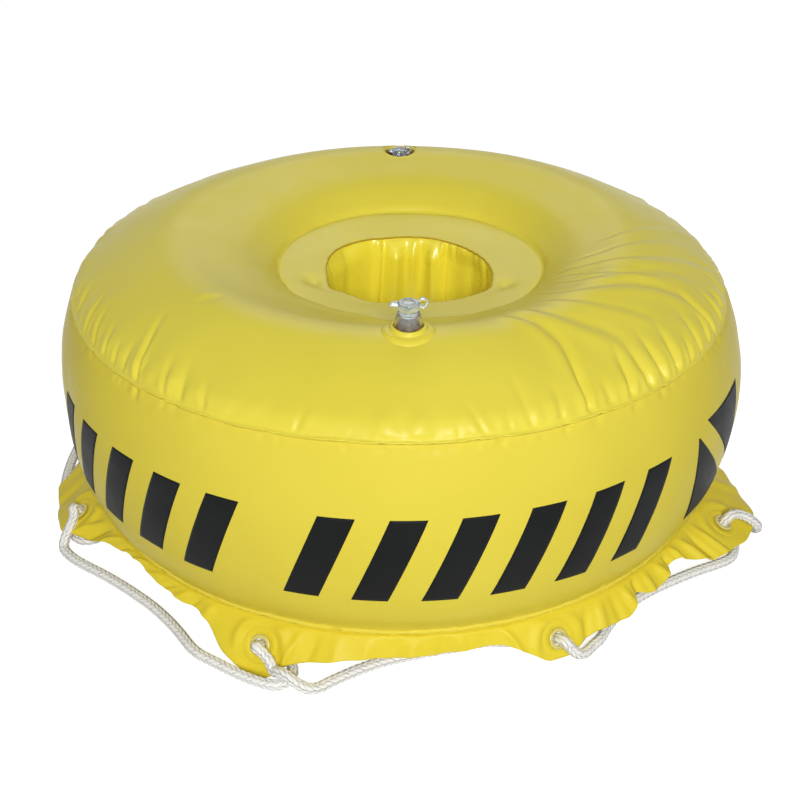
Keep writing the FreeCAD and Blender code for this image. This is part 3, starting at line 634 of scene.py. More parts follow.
# How the skirt hangs, as azimuth, width from its bend to its edge, and slope below level.  Most rows
# are rounded from the output of a script that projected points picked on the photograph onto it.
SKIRT_HANG = [
    (-96, 14, 52), (-92, 20, 50), (-87.5, 32, 45), (-81.5, 38, 39), (-80, 45, 37), (-72, 46, 31),
    (-67, 46, 31), (-62, 29, 38), (-57.5, 16, 43), (-53, 9.5, 48), (-48, 4.5, 52), (-45, 8, 53),
    (-43, 10, 53), (-37, 12, 55), (-33, 12.5, 55), (-31, 17, 56), (-29, 25, 56), (-27, 34, 56),
    (-23.5, 43.5, 54), (-21, 46, 53), (-19.2, 47.5, 52), (-17.8, 42, 54), (-16.4, 32, 56),
    (-15, 29, 56), (-11, 25.5, 55), (-5, 20, 56), (0, 18, 66), (7, 17, 68), (13, 15, 64), (16, 15, 58),
    (18.5, 22, 58), (20.5, 29, 58), (23, 38, 59), (27, 37, 58), (31.5, 27, 57), (35, 28, 55),
    (38, 29, 53), (39.3, 26, 52), (40.2, 14, 52), (41.5, 15, 51), (43, 21, 50), (44.5, 23, 49),
    (47.5, 21, 46), (50, 15, 42), (52, 13, 40), (55, 25, 36), (57, 35, 34), (59, 41, 30), (65, 54, 22),
    (69, 58, 22), (73, 57, 23), (76, 44, 26), (80, 35, 32), (85, 25, 40), (90, 16, 48), (96, 14, 52),
]
LOBE_HALF_W = 46.0
BACK_WAIST_W = 14.0
BACK_LOBE_W = 28.0
BACK_SLOPE = 54.0
# Where the eyelets sit on the skirt: azimuth, and distance down from the bend.  The first and the
# last two follow the same script; the second was moved by hand to stay near its CAD place.
EYELET_SPOTS = [
    (25.0, 22.0), (66.2, 30.5), (112.5, 24.0), (157.5, 24.0), (-157.5, 24.0), (-112.5, 24.0),
    (-68.0, 23.5), (-21.0, 22.0),
]
# Folds of the skirt: azimuth at the root and at the edge, depth, half width in degrees.
SKIRT_FOLDS = [
    (-84, -80, 2.2, 1.4), (-77, -74.5, -2.0, 1.2), (-60, -65, 3.0, 1.0), (-57.5, -62, -2.4, 0.9),
    (-54, -58.5, 2.6, 0.9), (-50, -54, -1.8, 0.9), (-46, -49, 1.6, 0.9), (-41, -45, 1.6, 0.9),
    (-37.5, -41, -1.8, 0.8), (-35, -37.5, 2.2, 0.8), (-32.5, -34.5, -2.2, 0.7), (-30, -31.5, 2.6, 0.8),
    (-14.5, -17, 3.0, 0.8), (-12, -13.5, -2.2, 0.8), (-9, -9.5, 1.4, 0.9), (-4, -5, 1.4, 1.2),
    (0, -0.5, -1.2, 0.9), (3, 2, 1.6, 1.0), (6.5, 7, -1.4, 0.9), (9, 10, 1.8, 1.0),
    (12.5, 14, -1.6, 0.8), (16, 18.4, 2.8, 0.8), (31, 30, -2.4, 0.8), (33.5, 33, 2.6, 0.8),
    (36, 36.5, -2.0, 0.7), (38.5, 39.6, 4.2, 0.6), (41.5, 41.6, -3.6, 0.7), (44, 44.6, 3.0, 0.7),
    (47, 48.5, 4.2, 0.7), (49.8, 50.6, -3.8, 0.6), (52.4, 53, 3.6, 0.6), (55.5, 56.5, 4.2, 0.7),
    (58.2, 58.6, -3.6, 0.6), (60.6, 60.8, 3.4, 0.6), (75, 78, 2.4, 1.1), (81, 84, -2.2, 1.0),
]


def skirt_hang(azimuth):
    """Width and slope of the skirt at azimuths."""
    table = np.array(SKIRT_HANG, float)
    front_w = np.interp(azimuth, table[:, 0], table[:, 1])
    front_slope = np.interp(azimuth, table[:, 0], table[:, 2])
    nearest = FIRST_LOBE_AZ + LOBE_PITCH * np.round((azimuth - FIRST_LOBE_AZ) / LOBE_PITCH)
    u = np.radians(azimuth - nearest) * 302 / LOBE_HALF_W
    back_w = BACK_WAIST_W + BACK_LOBE_W * np.clip(1 - u ** 2, 0, 1) ** 1.2
    front = np.abs(azimuth) < 96
    return np.where(front, front_w, back_w), np.where(front, front_slope, BACK_SLOPE)


def softened(values, times=6):
    """Values round the buoy, evened out between neighbours."""
    for _ in range(times):
        values = 0.25 * np.roll(values, 1) + 0.5 * values + 0.25 * np.roll(values, -1)
    return values


skirt_azimuths = even_azimuths(SKIRT_COLUMNS, -180)
widths, slopes = skirt_hang(skirt_azimuths)
widths = softened(widths) + 0.5 * wave(skirt_azimuths, 71, range(30, 90, 2), 0.3)
slopes = softened(slopes, 12) + 1.5 * wave(skirt_azimuths, 72, range(9, 30), 0.3)


BACK_FOLDS = [(a, a + lean, depth * 0.9, 1.3) for a, _, depth, _, lean
              in seeded_creases(9, 97, 263, (4, 8), (-2.6, 2.6), (10, 12))]


def skirt_fold_lift(t):
    """Lift of the skirt's folds over its columns, at a share t of the way to its edge."""
    lift = 0.9 * t * wave(skirt_azimuths, 73, range(16, 44), 0.5)
    for root_az, edge_az, depth, half in SKIRT_FOLDS + BACK_FOLDS:
        x = turn_between(skirt_azimuths, root_az + (edge_az - root_az) * t)
        lift = lift + depth * smooth(1.6 * t) * np.exp(-(x / half) ** 2)
    return lift


ROOT = [(282.0, 34.9), (285.6, 35.0), (287.4, 34.8), (LIP_R, BEND_Z)]
hang_r = np.full(SKIRT_COLUMNS, LIP_R)
hang_z = np.full(SKIRT_COLUMNS, BEND_Z)
hang = [np.stack([np.full(SKIRT_COLUMNS, r), np.full(SKIRT_COLUMNS, z)], -1) for r, z in ROOT]
STEPS = SKIRT_ROWS - len(ROOT)
for step in range(1, STEPS + 1):
    t = step / STEPS
    down = widths / STEPS
    bend = smooth(t * widths / 4.5)
    angle = np.radians(slopes) * bend * smooth((hang_z - FLOOR_CLEAR) / 5)
    hang_r = hang_r + down * np.cos(angle)
    hang_z = hang_z - down * np.sin(angle)
    hang.append(np.stack([hang_r, hang_z], -1))
hang = np.array(hang)
share = np.clip((np.arange(SKIRT_ROWS) - len(ROOT) + 1) / STEPS, 0, 1)
lift = np.array([skirt_fold_lift(t) for t in share])
tangent = np.gradient(hang, axis=0)
tangent /= np.linalg.norm(tangent, axis=2, keepdims=True)
hang_r = hang[:, :, 0] - tangent[:, :, 1] * lift
hang_z = np.maximum(hang[:, :, 1] + tangent[:, :, 0] * lift, FLOOR_CLEAR - 0.3)
skirt_grid = polar(skirt_azimuths[None, :], hang_r, hang_z)


def on_skirt(azimuth, down):
    """Point of the skirt's outer side, a distance down from the bend."""
    column = int(round((azimuth + 180) / 360 * SKIRT_COLUMNS)) % SKIRT_COLUMNS
    row = len(ROOT) - 1 + down / widths[column] * STEPS
    rows = np.arange(SKIRT_ROWS)
    return np.array([np.interp(row, rows, skirt_grid[:, column, k]) for k in range(3)])


def eyelet_frame(azimuth, down, reach=9.0):
    """Middle and outward normal of an eyelet's spot on the skirt."""
    middle = on_skirt(azimuth, down)
    turn = math.degrees(reach / 300)
    across = on_skirt(azimuth + turn, down) - on_skirt(azimuth - turn, down)
    along = on_skirt(azimuth, down + reach) - on_skirt(azimuth, down - reach)
    normal = np.cross(across, -along)
    return middle, normal / np.linalg.norm(normal)


eyelet_frames = [eyelet_frame(*spot) for spot in EYELET_SPOTS]
for middle, normal in eyelet_frames:
    offset = skirt_grid - middle
    distance = np.linalg.norm(offset, axis=2)
    weight = smooth((24 - distance) / 8)
    weight[:len(ROOT) + 1] = 0
    skirt_grid -= (weight * (offset @ normal))[:, :, None] * normal

# Slack gathers into an arch over the eyelets that the rope pulls on.
ARCHES = {7: (21.0, 2.6), 0: (20.0, 2.4), 6: (22.0, 2.2), 1: (22.0, 1.8)}
for index, (arch_r, height) in ARCHES.items():
    middle, normal = eyelet_frames[index]
    offset = skirt_grid - middle
    distance = np.linalg.norm(offset, axis=2)
    uphill = offset[:, :, 2] / np.maximum(distance, 1e-6)
    weight = np.exp(-((distance - arch_r) / 4.0) ** 2) * smooth((uphill + 0.45) / 0.6)
    weight[:len(ROOT) + 2] = 0
    skirt_grid += (height * weight)[:, :, None] * normal
skirt_grid[:, :, 2] = np.maximum(skirt_grid[:, :, 2], FLOOR_CLEAR - 0.3)

EYELET_CUT_R = 6.6
skirt_grid = skirt_grid[::-1]
skirt_points = skirt_grid.reshape(-1, 3).copy()
skirt_faces = grid_faces(SKIRT_ROWS, SKIRT_COLUMNS).tolist()
for middle, normal in eyelet_frames:
    away = skirt_points - middle
    distance = np.linalg.norm(away, axis=1)
    snap = np.abs(distance - EYELET_CUT_R) < 1.1
    skirt_points[snap] = middle + away[snap] / distance[snap, None] * EYELET_CUT_R
    skirt_faces = [f for f in skirt_faces
                   if np.linalg.norm(skirt_points[f].mean(0) - middle) > EYELET_CUT_R - 0.15]


def vertex_normals(points, faces):
    """Mean normals of the points from the quads about them."""
    f = np.array(faces)
    normal = np.cross(points[f[:, 2]] - points[f[:, 0]], points[f[:, 3]] - points[f[:, 1]])
    total = np.zeros_like(points)
    for k in range(4):
        np.add.at(total, f[:, k], normal)
    return total / np.maximum(np.linalg.norm(total, axis=1, keepdims=True), 1e-9)


def thicken(points, faces, thickness):
    """Closed sheet from an open one: the same faces again behind it, joined along every free edge."""
    used = np.unique(np.array(faces))
    order = np.full(len(points), -1)
    order[used] = np.arange(len(used))
    faces = order[np.array(faces)]
    points = points[used]
    behind = points - vertex_normals(points, faces) * thickness
    count = len(points)
    edges = {}
    for face in faces.tolist():
        for a, b in zip(face, face[1:] + face[:1]):
            if (b, a) in edges:
                del edges[(b, a)]
            else:
                edges[(a, b)] = True
    sides = [[b, a, a + count, b + count] for a, b in edges]
    return np.vstack([points, behind]), faces.tolist() + (faces[:, ::-1] + count).tolist() + sides


skirt_points, skirt_faces = thicken(skirt_points, skirt_faces, SKIRT_T)
skirt = make_mesh("skirt_sheet", skirt_points, skirt_faces, "skirt_sheet", "skirt")

# Round patches and eyelets.
PATCH_OUTLINE = [(6.3, -0.15), (13.8, -0.15), (14.4, 0.0), (14.2, 0.3), (13.7, 0.4), (6.3, 0.4)]
EYELET_OUTLINE = [
    (5.5, -1.6), (6.0, -1.9), (7.4, -1.9), (8.4, -1.6), (8.8, -1.2), (8.5, -0.95), (6.1, -0.9),
    (6.1, 0.5), (8.4, 0.5), (8.7, 0.8), (8.4, 1.25), (7.4, 1.55), (6.0, 1.55), (5.5, 1.2),
]


def set_on(points, middle, normal):
    """Points of a vertical lathe, moved to a middle and turned so that its axis is the normal."""
    turn = np.array(Vector((0, 0, 1)).rotation_difference(Vector(normal)).to_matrix())
    return points @ turn.T + middle


def joined(parts):
    """One mesh of several (points, faces)."""
    points, faces, first = [], [], 0
    for p, f in parts:
        points.append(p)
        faces += [[v + first for v in face] for face in f]
        first += len(p)
    return np.vstack(points), faces


def on_every_eyelet(outline, sides=48):
    """Lathes of an outline, one set on each eyelet's spot."""
    points, faces = lathe_mesh(outline, sides)
    return joined([(set_on(points, middle, normal), faces) for middle, normal in eyelet_frames])


patch_discs = make_mesh(
    "eyelet_patch_discs", *on_every_eyelet(PATCH_OUTLINE), "skirt_sheet", "eyelet_patches")
eyelet_rims = make_mesh("eyelet_rims", *on_every_eyelet(EYELET_OUTLINE), "eyelet_plastic", "eyelets")

# ---- print on the side band --------------------------------------------------------------------
PRINT_LIFT = 0.25
PRINT_SINK = 0.6
BAR_W = 5.2               # degrees
BAR_SLANT = 5.5           # degrees from a bar's foot to its top
BAR_TOP, BAR_FOOT = -55.0, -130.0
BAR_GROUPS = [(-71.5, 9.6, 5), (-16.5, 9.9, 6)]   # first bar's azimuth, pitch, count
FLAG_WEST, FLAG_EAST = 51.2, 68.5
FLAG_TOP, FLAG_FOOT = -48.0, -138.0
LOWER_TIP = -57.6         # upper corner of the panel's lower triangle


def on_band(azimuth, height, lift):
    """Points on the side band, at heights measured from the upper seam."""
    heights = band_rows[:, 1]
    inner = slice(4, len(heights) - 4)
    row = np.interp(height, heights[inner], np.arange(len(heights))[inner])
    column = (np.asarray(azimuth) % 360) / 360 * COLUMNS
    i, j = np.floor(row).astype(int), np.floor(column).astype(int)
    f, g = (row - i)[..., None], (column - j)[..., None]
    j0, j1 = j % COLUMNS, (j + 1) % COLUMNS
    point = ((band_grid[i, j0] * (1 - f) + band_grid[i + 1, j0] * f) * (1 - g)
             + (band_grid[i, j1] * (1 - f) + band_grid[i + 1, j1] * f) * g)
    n = band_normals[i] * (1 - f) + band_normals[i + 1] * f
    a = np.radians(azimuth)
    normal = np.stack([n[..., 0] * np.sin(a), -n[..., 0] * np.cos(a), n[..., 1]], -1)
    return point + normal * lift


def printed(corners, across=10, up=30):
    """Thin plate on the band; corners are foot-left, foot-right, top-right, top-left."""
    corners = np.array(corners, float)
    u = np.linspace(0, 1, across + 1)[None, :, None]
    v = np.linspace(0, 1, up + 1)[:, None, None]
    flat = ((corners[0] * (1 - u) + corners[1] * u) * (1 - v)
            + (corners[3] * (1 - u) + corners[2] * u) * v)
    front = on_band(flat[..., 0], flat[..., 1], PRINT_LIFT)
    back = on_band(flat[..., 0], flat[..., 1], -PRINT_SINK)
    count = (across + 1) * (up + 1)
    faces = grid_faces(up + 1, across + 1, closed=False)
    rim = ([(r, 0) for r in range(up + 1)] + [(up, c) for c in range(1, across + 1)]
           + [(r, across) for r in range(up - 1, -1, -1)] + [(0, c) for c in range(across - 1, 0, -1)])
    rim = [r * (across + 1) + c for r, c in rim]
    sides = [[a, b, b + count, a + count] for a, b in zip(rim, rim[1:] + rim[:1])]
    return (np.vstack([front.reshape(-1, 3), back.reshape(-1, 3)]),
            faces.tolist() + (faces[:, ::-1] + count).tolist() + sides)


plates = []
for turn in (0, 180):
    for first, pitch, count in BAR_GROUPS:
        for k in range(count):
            foot = first + turn + k * pitch
            plates.append(printed([(foot, BAR_FOOT), (foot + BAR_W, BAR_FOOT),
                                   (foot + BAR_W + BAR_SLANT, BAR_TOP), (foot + BAR_SLANT, BAR_TOP)]))
    west, east = FLAG_WEST + turn, FLAG_EAST + turn
    plates.append(printed([(west, FLAG_FOOT), (east - 3.2, FLAG_FOOT),
                           (west + 0.3, LOWER_TIP), (west, LOWER_TIP)], 14))
    plates.append(printed([(east, FLAG_FOOT + 9.5), (east, FLAG_TOP),
                           (west + 3.0, FLAG_TOP), (west + 3.0, FLAG_TOP - 0.6)], 14))
print_bars = make_mesh("band_print", *joined(plates), "yellow_sheet")

# ---- grab rope ---------------------------------------------------------------------------------
LOW = 4.2
KNOT_OUT = 318.0
KNOT_R = 9.0
KNOT_LEN = 34.0
# A stitch through an eyelet as the points before it and the points after it, each (across, out, up).
STITCH = ([(-44, 316, LOW), (-24, 317.5, LOW), (-6, 318, LOW), (9, 317, LOW), (22, 311, LOW),
           (27, 298, LOW), (19, 289, 4.4)],
          [(11, 323, 11), (29, 323, 4.3), (48, 318, LOW)])
# The stitches that show lie a little off the even one; these are where they lie.
SHOWN_STITCHES = {
    6: ([(-44, 316, LOW), (-24, 317.5, LOW), (-6, 318, LOW), (6, 317, LOW), (15.5, 311, LOW),
         (17, 300, LOW), (11, 291.5, LOW)],
        [(3, 313.5, 26), (11, 320, 19.5), (15.5, 326.5, 11.5), (20, 329.5, 4.8), (33, 325.5, LOW),
         (48, 317.5, LOW)]),
    7: ([(-44, 316, LOW), (-24, 319.5, LOW), (-6, 323, LOW), (10, 325, LOW), (24, 325.5, LOW),
         (35, 323.5, LOW), (40, 315, LOW), (39, 305, LOW), (32, 296.5, LOW), (19, 290, 5)],
        [(11, 308, 20.5), (21, 310.5, 15), (26.5, 315, 9), (32, 317.5, 12.5), (40, 319.5, 14.4),
         (50, 321, 9.5), (62, 318, LOW)]),
    0: ([(-36, 268, LOW), (-14, 279, 4.6)],
        [(19, 310, 13), (25.5, 312.8, 6.5), (33, 311, 4.4), (41, 306, LOW), (52, 301.5, LOW)]),
    1: ([(-58, 307, LOW), (-44, 320, LOW), (-33, 328.5, LOW), (-22, 331, LOW), (-8, 329, LOW),
         (4, 323, LOW), (10, 312, LOW), (8, 299, LOW)],
        [(1, 325, 30.5), (7, 336, 25), (12, 345, 15), (17, 344, 6.5), (27, 335, LOW),
         (39, 324.5, LOW), (50, 316.5, LOW)]),
}
ROPE_SWAGS = [
    [(-52, 293), (-20, 288), (14, 292), (48, 301)],
    [(-52, 308), (-17, 303), (19, 302), (54, 306)],
    [(-53, 307), (-18, 305), (16, 302), (52, 304)],
    [],
    [(-55, 306), (-18, 301), (17, 300), (53, 304)],
    [(-52, 318), (-17, 322), (19, 322), (54, 318)],
    [(-50, 306), (-17, 302), (18, 300), (52, 303)],
    [(-48, 305), (-18, 287), (16, 276), (46, 269)],
]
ROPE_TO_KNOT = [(-58, 315.5, 5.0), (-37, KNOT_OUT, KNOT_R)]
ROPE_FROM_KNOT = [(37, KNOT_OUT, KNOT_R), (58, 315, 5.0)]
FIRST_LOBE_ON_ROUTE = 4
CAD_EYELET_OUT = 302.1
CAD_EYELET_UP = 17.0
THREAD_REACH = 10.5


def rope_route():
    """Points of the rope from one side of the knot, round all the lobes, to its other side."""
    points = [around(KNOT_AZ, KNOT_LEN / 2, KNOT_OUT, KNOT_R)]
    points += [around(KNOT_AZ, *p) for p in ROPE_FROM_KNOT]
    for k in range(LOBES):
        index = (FIRST_LOBE_ON_ROUTE + k) % LOBES
        azimuth = FIRST_LOBE_AZ + LOBE_PITCH * index
        middle, normal = eyelet_frames[index]
        shift = middle - around(azimuth, 0, CAD_EYELET_OUT, CAD_EYELET_UP)
        before, after = SHOWN_STITCHES.get(index, STITCH)
        nearer = [0.0] * 8 + [0.3, 0.6] if before is STITCH[0] else [0.0] * 10
        before = [around(azimuth, *p) + shift * share for p, share in zip(before, nearer[-len(before):])]
        after = [around(azimuth, *p) + shift * share for p, share in zip(after, nearer[::-1])]
        for p in before + after:
            p[2] = max(p[2], LOW)
        points += before + [middle - normal * THREAD_REACH, middle + normal * THREAD_REACH] + after
        points += [around(azimuth + LOBE_PITCH / 2, *p, LOW) for p in ROPE_SWAGS[index]]
    points += [around(KNOT_AZ, *p) for p in ROPE_TO_KNOT]
    return points + [around(KNOT_AZ, -KNOT_LEN / 2, KNOT_OUT, KNOT_R)]


def nurbs_line(points, resolution=14):
    """Points along a smooth line whose control points are the given ones, in millimetres."""
    curve = bpy.data.curves.new("line", "CURVE")
    curve.dimensions = "3D"
    curve.resolution_u = resolution
    run = curve.splines.new("NURBS")
    run.points.add(len(points) - 1)
    for control, p in zip(run.points, points):
        control.co = (*(np.asarray(p) * MM), 1.0)
    run.order_u = 3
    run.use_endpoint_u = True
    holder = bpy.data.objects.new("line", curve)
    mesh = bpy.data.meshes.new_from_object(holder)
    line = np.array([v.co for v in mesh.vertices], float) / MM
    bpy.data.objects.remove(holder)
    bpy.data.curves.remove(curve)
    bpy.data.meshes.remove(mesh)
    return line


def frames_along(line):
    """Tangents, and two normals that turn with the line as little as they can."""
    tangents = np.gradient(line, axis=0)
    tangents /= np.linalg.norm(tangents, axis=1, keepdims=True)
    side = np.cross(tangents[0], (0, 0, 1))
    sides = []
    for t in tangents:
        side = side - t * (side @ t)
        side = side / np.linalg.norm(side)
        sides.append(side)
    sides = np.array(sides)
    return tangents, sides, np.cross(tangents, sides)


PLAIT_COLUMNS = 6         # columns of plaits round the rope, slanting left and right in turn
PLAIT_PITCH = 5.4         # from one plait to the next along the rope
PLAIT_LEAN = 3.0          # how far a plait advances along the rope from its column's middle
PLAIT_DEPTH = 1.0


def plait_height(column, along):
    """Height of the braid's surface, 0 in a groove to 1 on a plait; column counts round the rope."""
    k = np.floor(column)
    x = 2 * (column - k) - 1
    slant = np.where(k % 2 == 0, 1.0, -1.0)
    y = along / PLAIT_PITCH - slant * x * PLAIT_LEAN / PLAIT_PITCH + 0.5 * (k % 2)
    across = 2 * (y - np.floor(y)) - 1
    return np.sqrt(np.clip(1 - across ** 2, 0, 1)) * (1 - 0.7 * np.abs(x) ** 3)


def rope_tube(line, step=1.0, sides=32, radius=ROPE_R, taper=None):
    """Points, faces and braid coordinates of a braided rope, its line, and its plaits' height."""
    length = np.linalg.norm(np.diff(line, axis=0), axis=1).sum()
    line = even(line, max(4, int(length / step)))
    tangents, left, up = frames_along(line)
    n = len(line)
    along = np.linspace(0, length, n)
    turns = np.arange(sides) / sides
    height = plait_height(turns[None, :] * PLAIT_COLUMNS, along[:, None])
    r = radius + 0.55 - PLAIT_DEPTH * (1 - height)
    if taper is not None:
        r = r * taper(along / length)[:, None]
    a = 2 * np.pi * turns
    ring = np.cos(a)[None, :, None] * left[:, None, :] + np.sin(a)[None, :, None] * up[:, None, :]
    points = line[:, None, :] + r[:, :, None] * ring
    index = np.arange(n * sides).reshape(n, sides)
    i, j = np.meshgrid(np.arange(n - 1), np.arange(sides), indexing="ij")
    k = (j + 1) % sides
    faces = np.stack([index[i, j], index[i, k], index[i + 1, k], index[i + 1, j]], -1).reshape(-1, 4)
    u0, u1 = j * PLAIT_COLUMNS / sides, (j + 1) * PLAIT_COLUMNS / sides
    v0, v1 = along[i] / PLAIT_PITCH, along[i + 1] / PLAIT_PITCH
    uv = np.stack([np.stack([u0, v0], -1), np.stack([u1, v0], -1),
                   np.stack([u1, v1], -1), np.stack([u0, v1], -1)], -2).reshape(-1, 2)
    faces = faces.tolist() + [list(range(sides))[::-1], index[-1].tolist()]
    uv = np.vstack([uv, np.zeros((2 * sides, 2))])
    return points.reshape(-1, 3), faces, uv, line, height.ravel()


rope_points, rope_faces, rope_uv, rope_path, rope_plaits = rope_tube(nurbs_line(rope_route()))
grab_rope = make_mesh(
    "grab_rope_braid", rope_points, rope_faces, "braided_rope", "grab_rope", uv=rope_uv)
mark(grab_rope, "plait", rope_plaits)

# The knot: a barrel of wraps over the two runs, and the two cut tails.
WRAPS = 3.4
wrap_turns = np.linspace(0, WRAPS * 2 * np.pi, 120)
wrap_along = np.linspace(-KNOT_LEN / 2 + 4.5, KNOT_LEN / 2 - 4.5, 120)
WRAP_R = 5.2
wrap_line = np.array([around(KNOT_AZ, s, KNOT_OUT + WRAP_R * math.cos(t), KNOT_R + WRAP_R * math.sin(t))
                      for s, t in zip(wrap_along, wrap_turns)])
parts = [rope_tube(wrap_line, step=0.9, sides=24, radius=3.9)]
core = np.array([around(KNOT_AZ, s, KNOT_OUT, KNOT_R)
                 for s in np.linspace(-KNOT_LEN / 2, KNOT_LEN / 2, 30)])
parts.append(rope_tube(core, sides=24))
for side in (-1, 1):
    tail = [around(KNOT_AZ, side * 5, KNOT_OUT + 1, 7.0), around(KNOT_AZ, side * 8, KNOT_OUT + 9, 4.4),
            around(KNOT_AZ, side * 12, KNOT_OUT + 18, LOW), around(KNOT_AZ, side * 15, KNOT_OUT + 27, LOW)]
    parts.append(rope_tube(nurbs_line(tail), step=0.9, sides=24, radius=3.9,
                           taper=lambda t: np.where(t > 0.93, 0.86, 1.0)))
knot = make_mesh("rope_knot_wraps", *joined([part[:2] for part in parts]), "braided_rope", "rope_knot",
                 uv=np.vstack([part[2] for part in parts]))
mark(knot, "plait", np.concatenate([part[4] for part in parts]))

# ---- valves ------------------------------------------------------------------------------------
STEM_FOOT_Z = 251.0
VALVE_SIDES = 96
REAR_FOOT_Z = 227.1


def panel_fit(middle, inner, outer):
    """Even curved surface through the top panel about a spot, as a function of x and y."""
    own = top_grid.reshape(-1, 3)
    distance = np.linalg.norm(own[:, :2] - middle, axis=1)
    near = own[(distance > inner) & (distance < outer)]

    def terms(x, y):
        x, y = (x - middle[0]) / 20, (y - middle[1]) / 20
        return np.stack([np.ones_like(x), x, y, x * x, x * y, y * y], -1)

    factors = np.linalg.lstsq(terms(near[:, 0], near[:, 1]), near[:, 2], rcond=None)[0]
    return lambda x, y: terms(x, y) @ factors


def on_panel(outline, middle, surface):
    """Lathe round a valve whose heights are measured from the top panel's curved surface."""
    points, faces = lathe_mesh(outline, VALVE_SIDES, (*middle, 0.0))
    points[:, 2] += surface(points[:, 0], points[:, 1])
    return points, faces


def solid_lathe(outline, sides):
    """Lathe of an outline that starts and ends on the axis."""
    outline = np.asarray(outline, float)
    inner = outline[1:-1]
    rings = turned(inner, sides)
    points = np.vstack([rings, [[0, 0, outline[0, 1]], [0, 0, outline[-1, 1]]]])
    first, last = len(rings), len(rings) + 1
    faces = []
    for c in range(sides):
        d = (c + 1) % sides
        faces.append([first, d, c])
        for r in range(len(inner) - 1):
            faces.append([r * sides + c, r * sides + d, (r + 1) * sides + d, (r + 1) * sides + c])
        top = (len(inner) - 1) * sides
        faces.append([top + c, top + d, last])
    return points, faces


def ring_mesh(middle, axis, major, minor, sides=48, around_tube=20):
    """Torus about an axis."""
    a = np.linspace(0, 2 * np.pi, around_tube, endpoint=False)
    outline = np.stack([major + minor * np.cos(a), minor * np.sin(a)], -1)
    points, faces = lathe_mesh(outline, sides)
    return set_on(points, np.asarray(middle, float), axis), faces


def rod_mesh(start, end, radius, sides=24):
    """Round rod between two points."""
    start, end = np.asarray(start, float), np.asarray(end, float)
    length = np.linalg.norm(end - start)
    points, faces = solid_lathe([(0, 0), (radius, 0), (radius, length), (0, length)], sides)
    return set_on(points, start, (end - start) / length), faces


def slab_mesh(outline, low, high, bevel=0.5):
    """Flat slab of an outline in plan, counted anticlockwise, with eased edges."""
    outline = np.asarray(outline, float)
    middle = outline.mean(0)
    inward = middle - outline
    inward /= np.linalg.norm(inward, axis=1, keepdims=True)
    n = len(outline)
    layers = [(bevel, low), (0.0, low + bevel), (0.0, high - bevel), (bevel, high)]
    points = np.vstack([np.column_stack([outline + inward * cut, np.full(n, z)]) for cut, z in layers])
    faces = [list(range(n))[::-1], list(range(3 * n, 4 * n))]
    for layer in range(3):
        for k in range(n):
            l = (k + 1) % n
            faces.append([layer * n + k, layer * n + l, (layer + 1) * n + l, (layer + 1) * n + k])
    return points, faces


FLANGE_OUTLINE = [
    (11.6, -1.4), (20.6, -1.0), (20.8, -0.3), (20.2, 0.4), (19.2, 1.3), (17.8, 2.0), (16.4, 2.3),
    (15.3, 2.2), (14.7, 2.3), (14.2, 2.9), (13.8, 3.9), (13.3, 4.7), (12.7, 5.2), (12.2, 5.2),
    (11.8, 4.9), (11.6, 4.2),
]
front_surface = panel_fit(FRONT_VALVE, 0.0, 30.0)
front_flange = make_mesh("front_valve_mound", *on_panel(FLANGE_OUTLINE, FRONT_VALVE, front_surface),
                         "yellow_sheet", "front_valve_flange")

CUP_OUTLINE = [
    (6.2, -25.3), (18.3, -25.3), (18.3, -2.2), (25.0, -2.0), (26.0, -1.6), (25.0, -1.2), (22.5, -0.6),
    (20.2, -0.2), (18.2, 0.0), (16.4, -0.4), (15.2, -1.3), (14.8, -2.6), (15.2, -4.2), (16.2, -6.0),
    (16.6, -9.0), (16.4, -20.5), (16.2, -23.0), (15, -24.5), (6.2, -24.5),
]
rear_surface = panel_fit(REAR_VALVE, 18.0, 34.0)
cup_points, cup_faces = on_panel(CUP_OUTLINE, REAR_VALVE, rear_surface)
rear_cup = make_mesh("rear_valve_cup", cup_points, cup_faces, "yellow_sheet", "rear_valve_flange")
# Depth below the cup's rim, for painted shade that turns its inside from amber to dark brown towards the
# bottom.
below_rim = cup_points[:, 2].max() - cup_points[:, 2]
mark(rear_cup, "depth", np.clip((below_rim - 3.5) / 3, 0, 1))

STEM_OUTLINE = [
    (4.6, -16), (5.8, -16), (6.0, -15.7), (6.0, 0.0), (11.0, 0.0), (11.2, 0.3), (11.2, 2.4),
    (10.9, 5.2), (10.3, 8.6), (9.6, 11.8), (8.9, 14.8), (8.7, 15.9), (8.4, 16.35), (8.0, 16.4),
    (7.6, 16.1), (7.5, 15.4), (8.2, 11.6), (9.0, 7.8), (9.6, 4.4), (9.9, 2.0), (9.6, 1.4), (9.0, 1.2),
    (6.3, 1.2), (6.05, 1.5), (6.0, 13.4), (5.7, 13.8), (4.9, 13.8), (4.6, 13.4),
]
# Rows of the cone's inner wall painted orange-brown towards its foot: painted shade, and a painted
# see-through view of the yellow panel.
PAINTED_FOOT_ROWS = slice(16, 23)         # the cone's inner wall, from its middle down to its foot
PAINTED_FOOT_SHARE = (0.75, 0.2, 0.0, 0.0, 0.0, 0.0, 0.0)
PLUG_OUTLINE = [
    (0, 0.0), (4.0, 0.0), (4.35, 0.4), (4.4, 13.8), (4.6, 14.05), (6.7, 14.05), (7.05, 14.3),
    (7.1, 16.2), (7.0, 17.6), (7.1, 18.8), (7.6, 19.8), (8.0, 20.6), (8.1, 21.4), (8.1, 23.4),
    (7.9, 24.3), (7.4, 24.85), (6.6, 25.0), (5.6, 24.95), (5.1, 24.7), (4.9, 24.2), (4.6, 24.0),
    (0, 24.0),
]
EYE_MIDDLE = (10.6, 0.0, 24.4)
EYE_LEAN = 35.0
SHAFT_TOP = 13.9          # height up to which a plug is milky


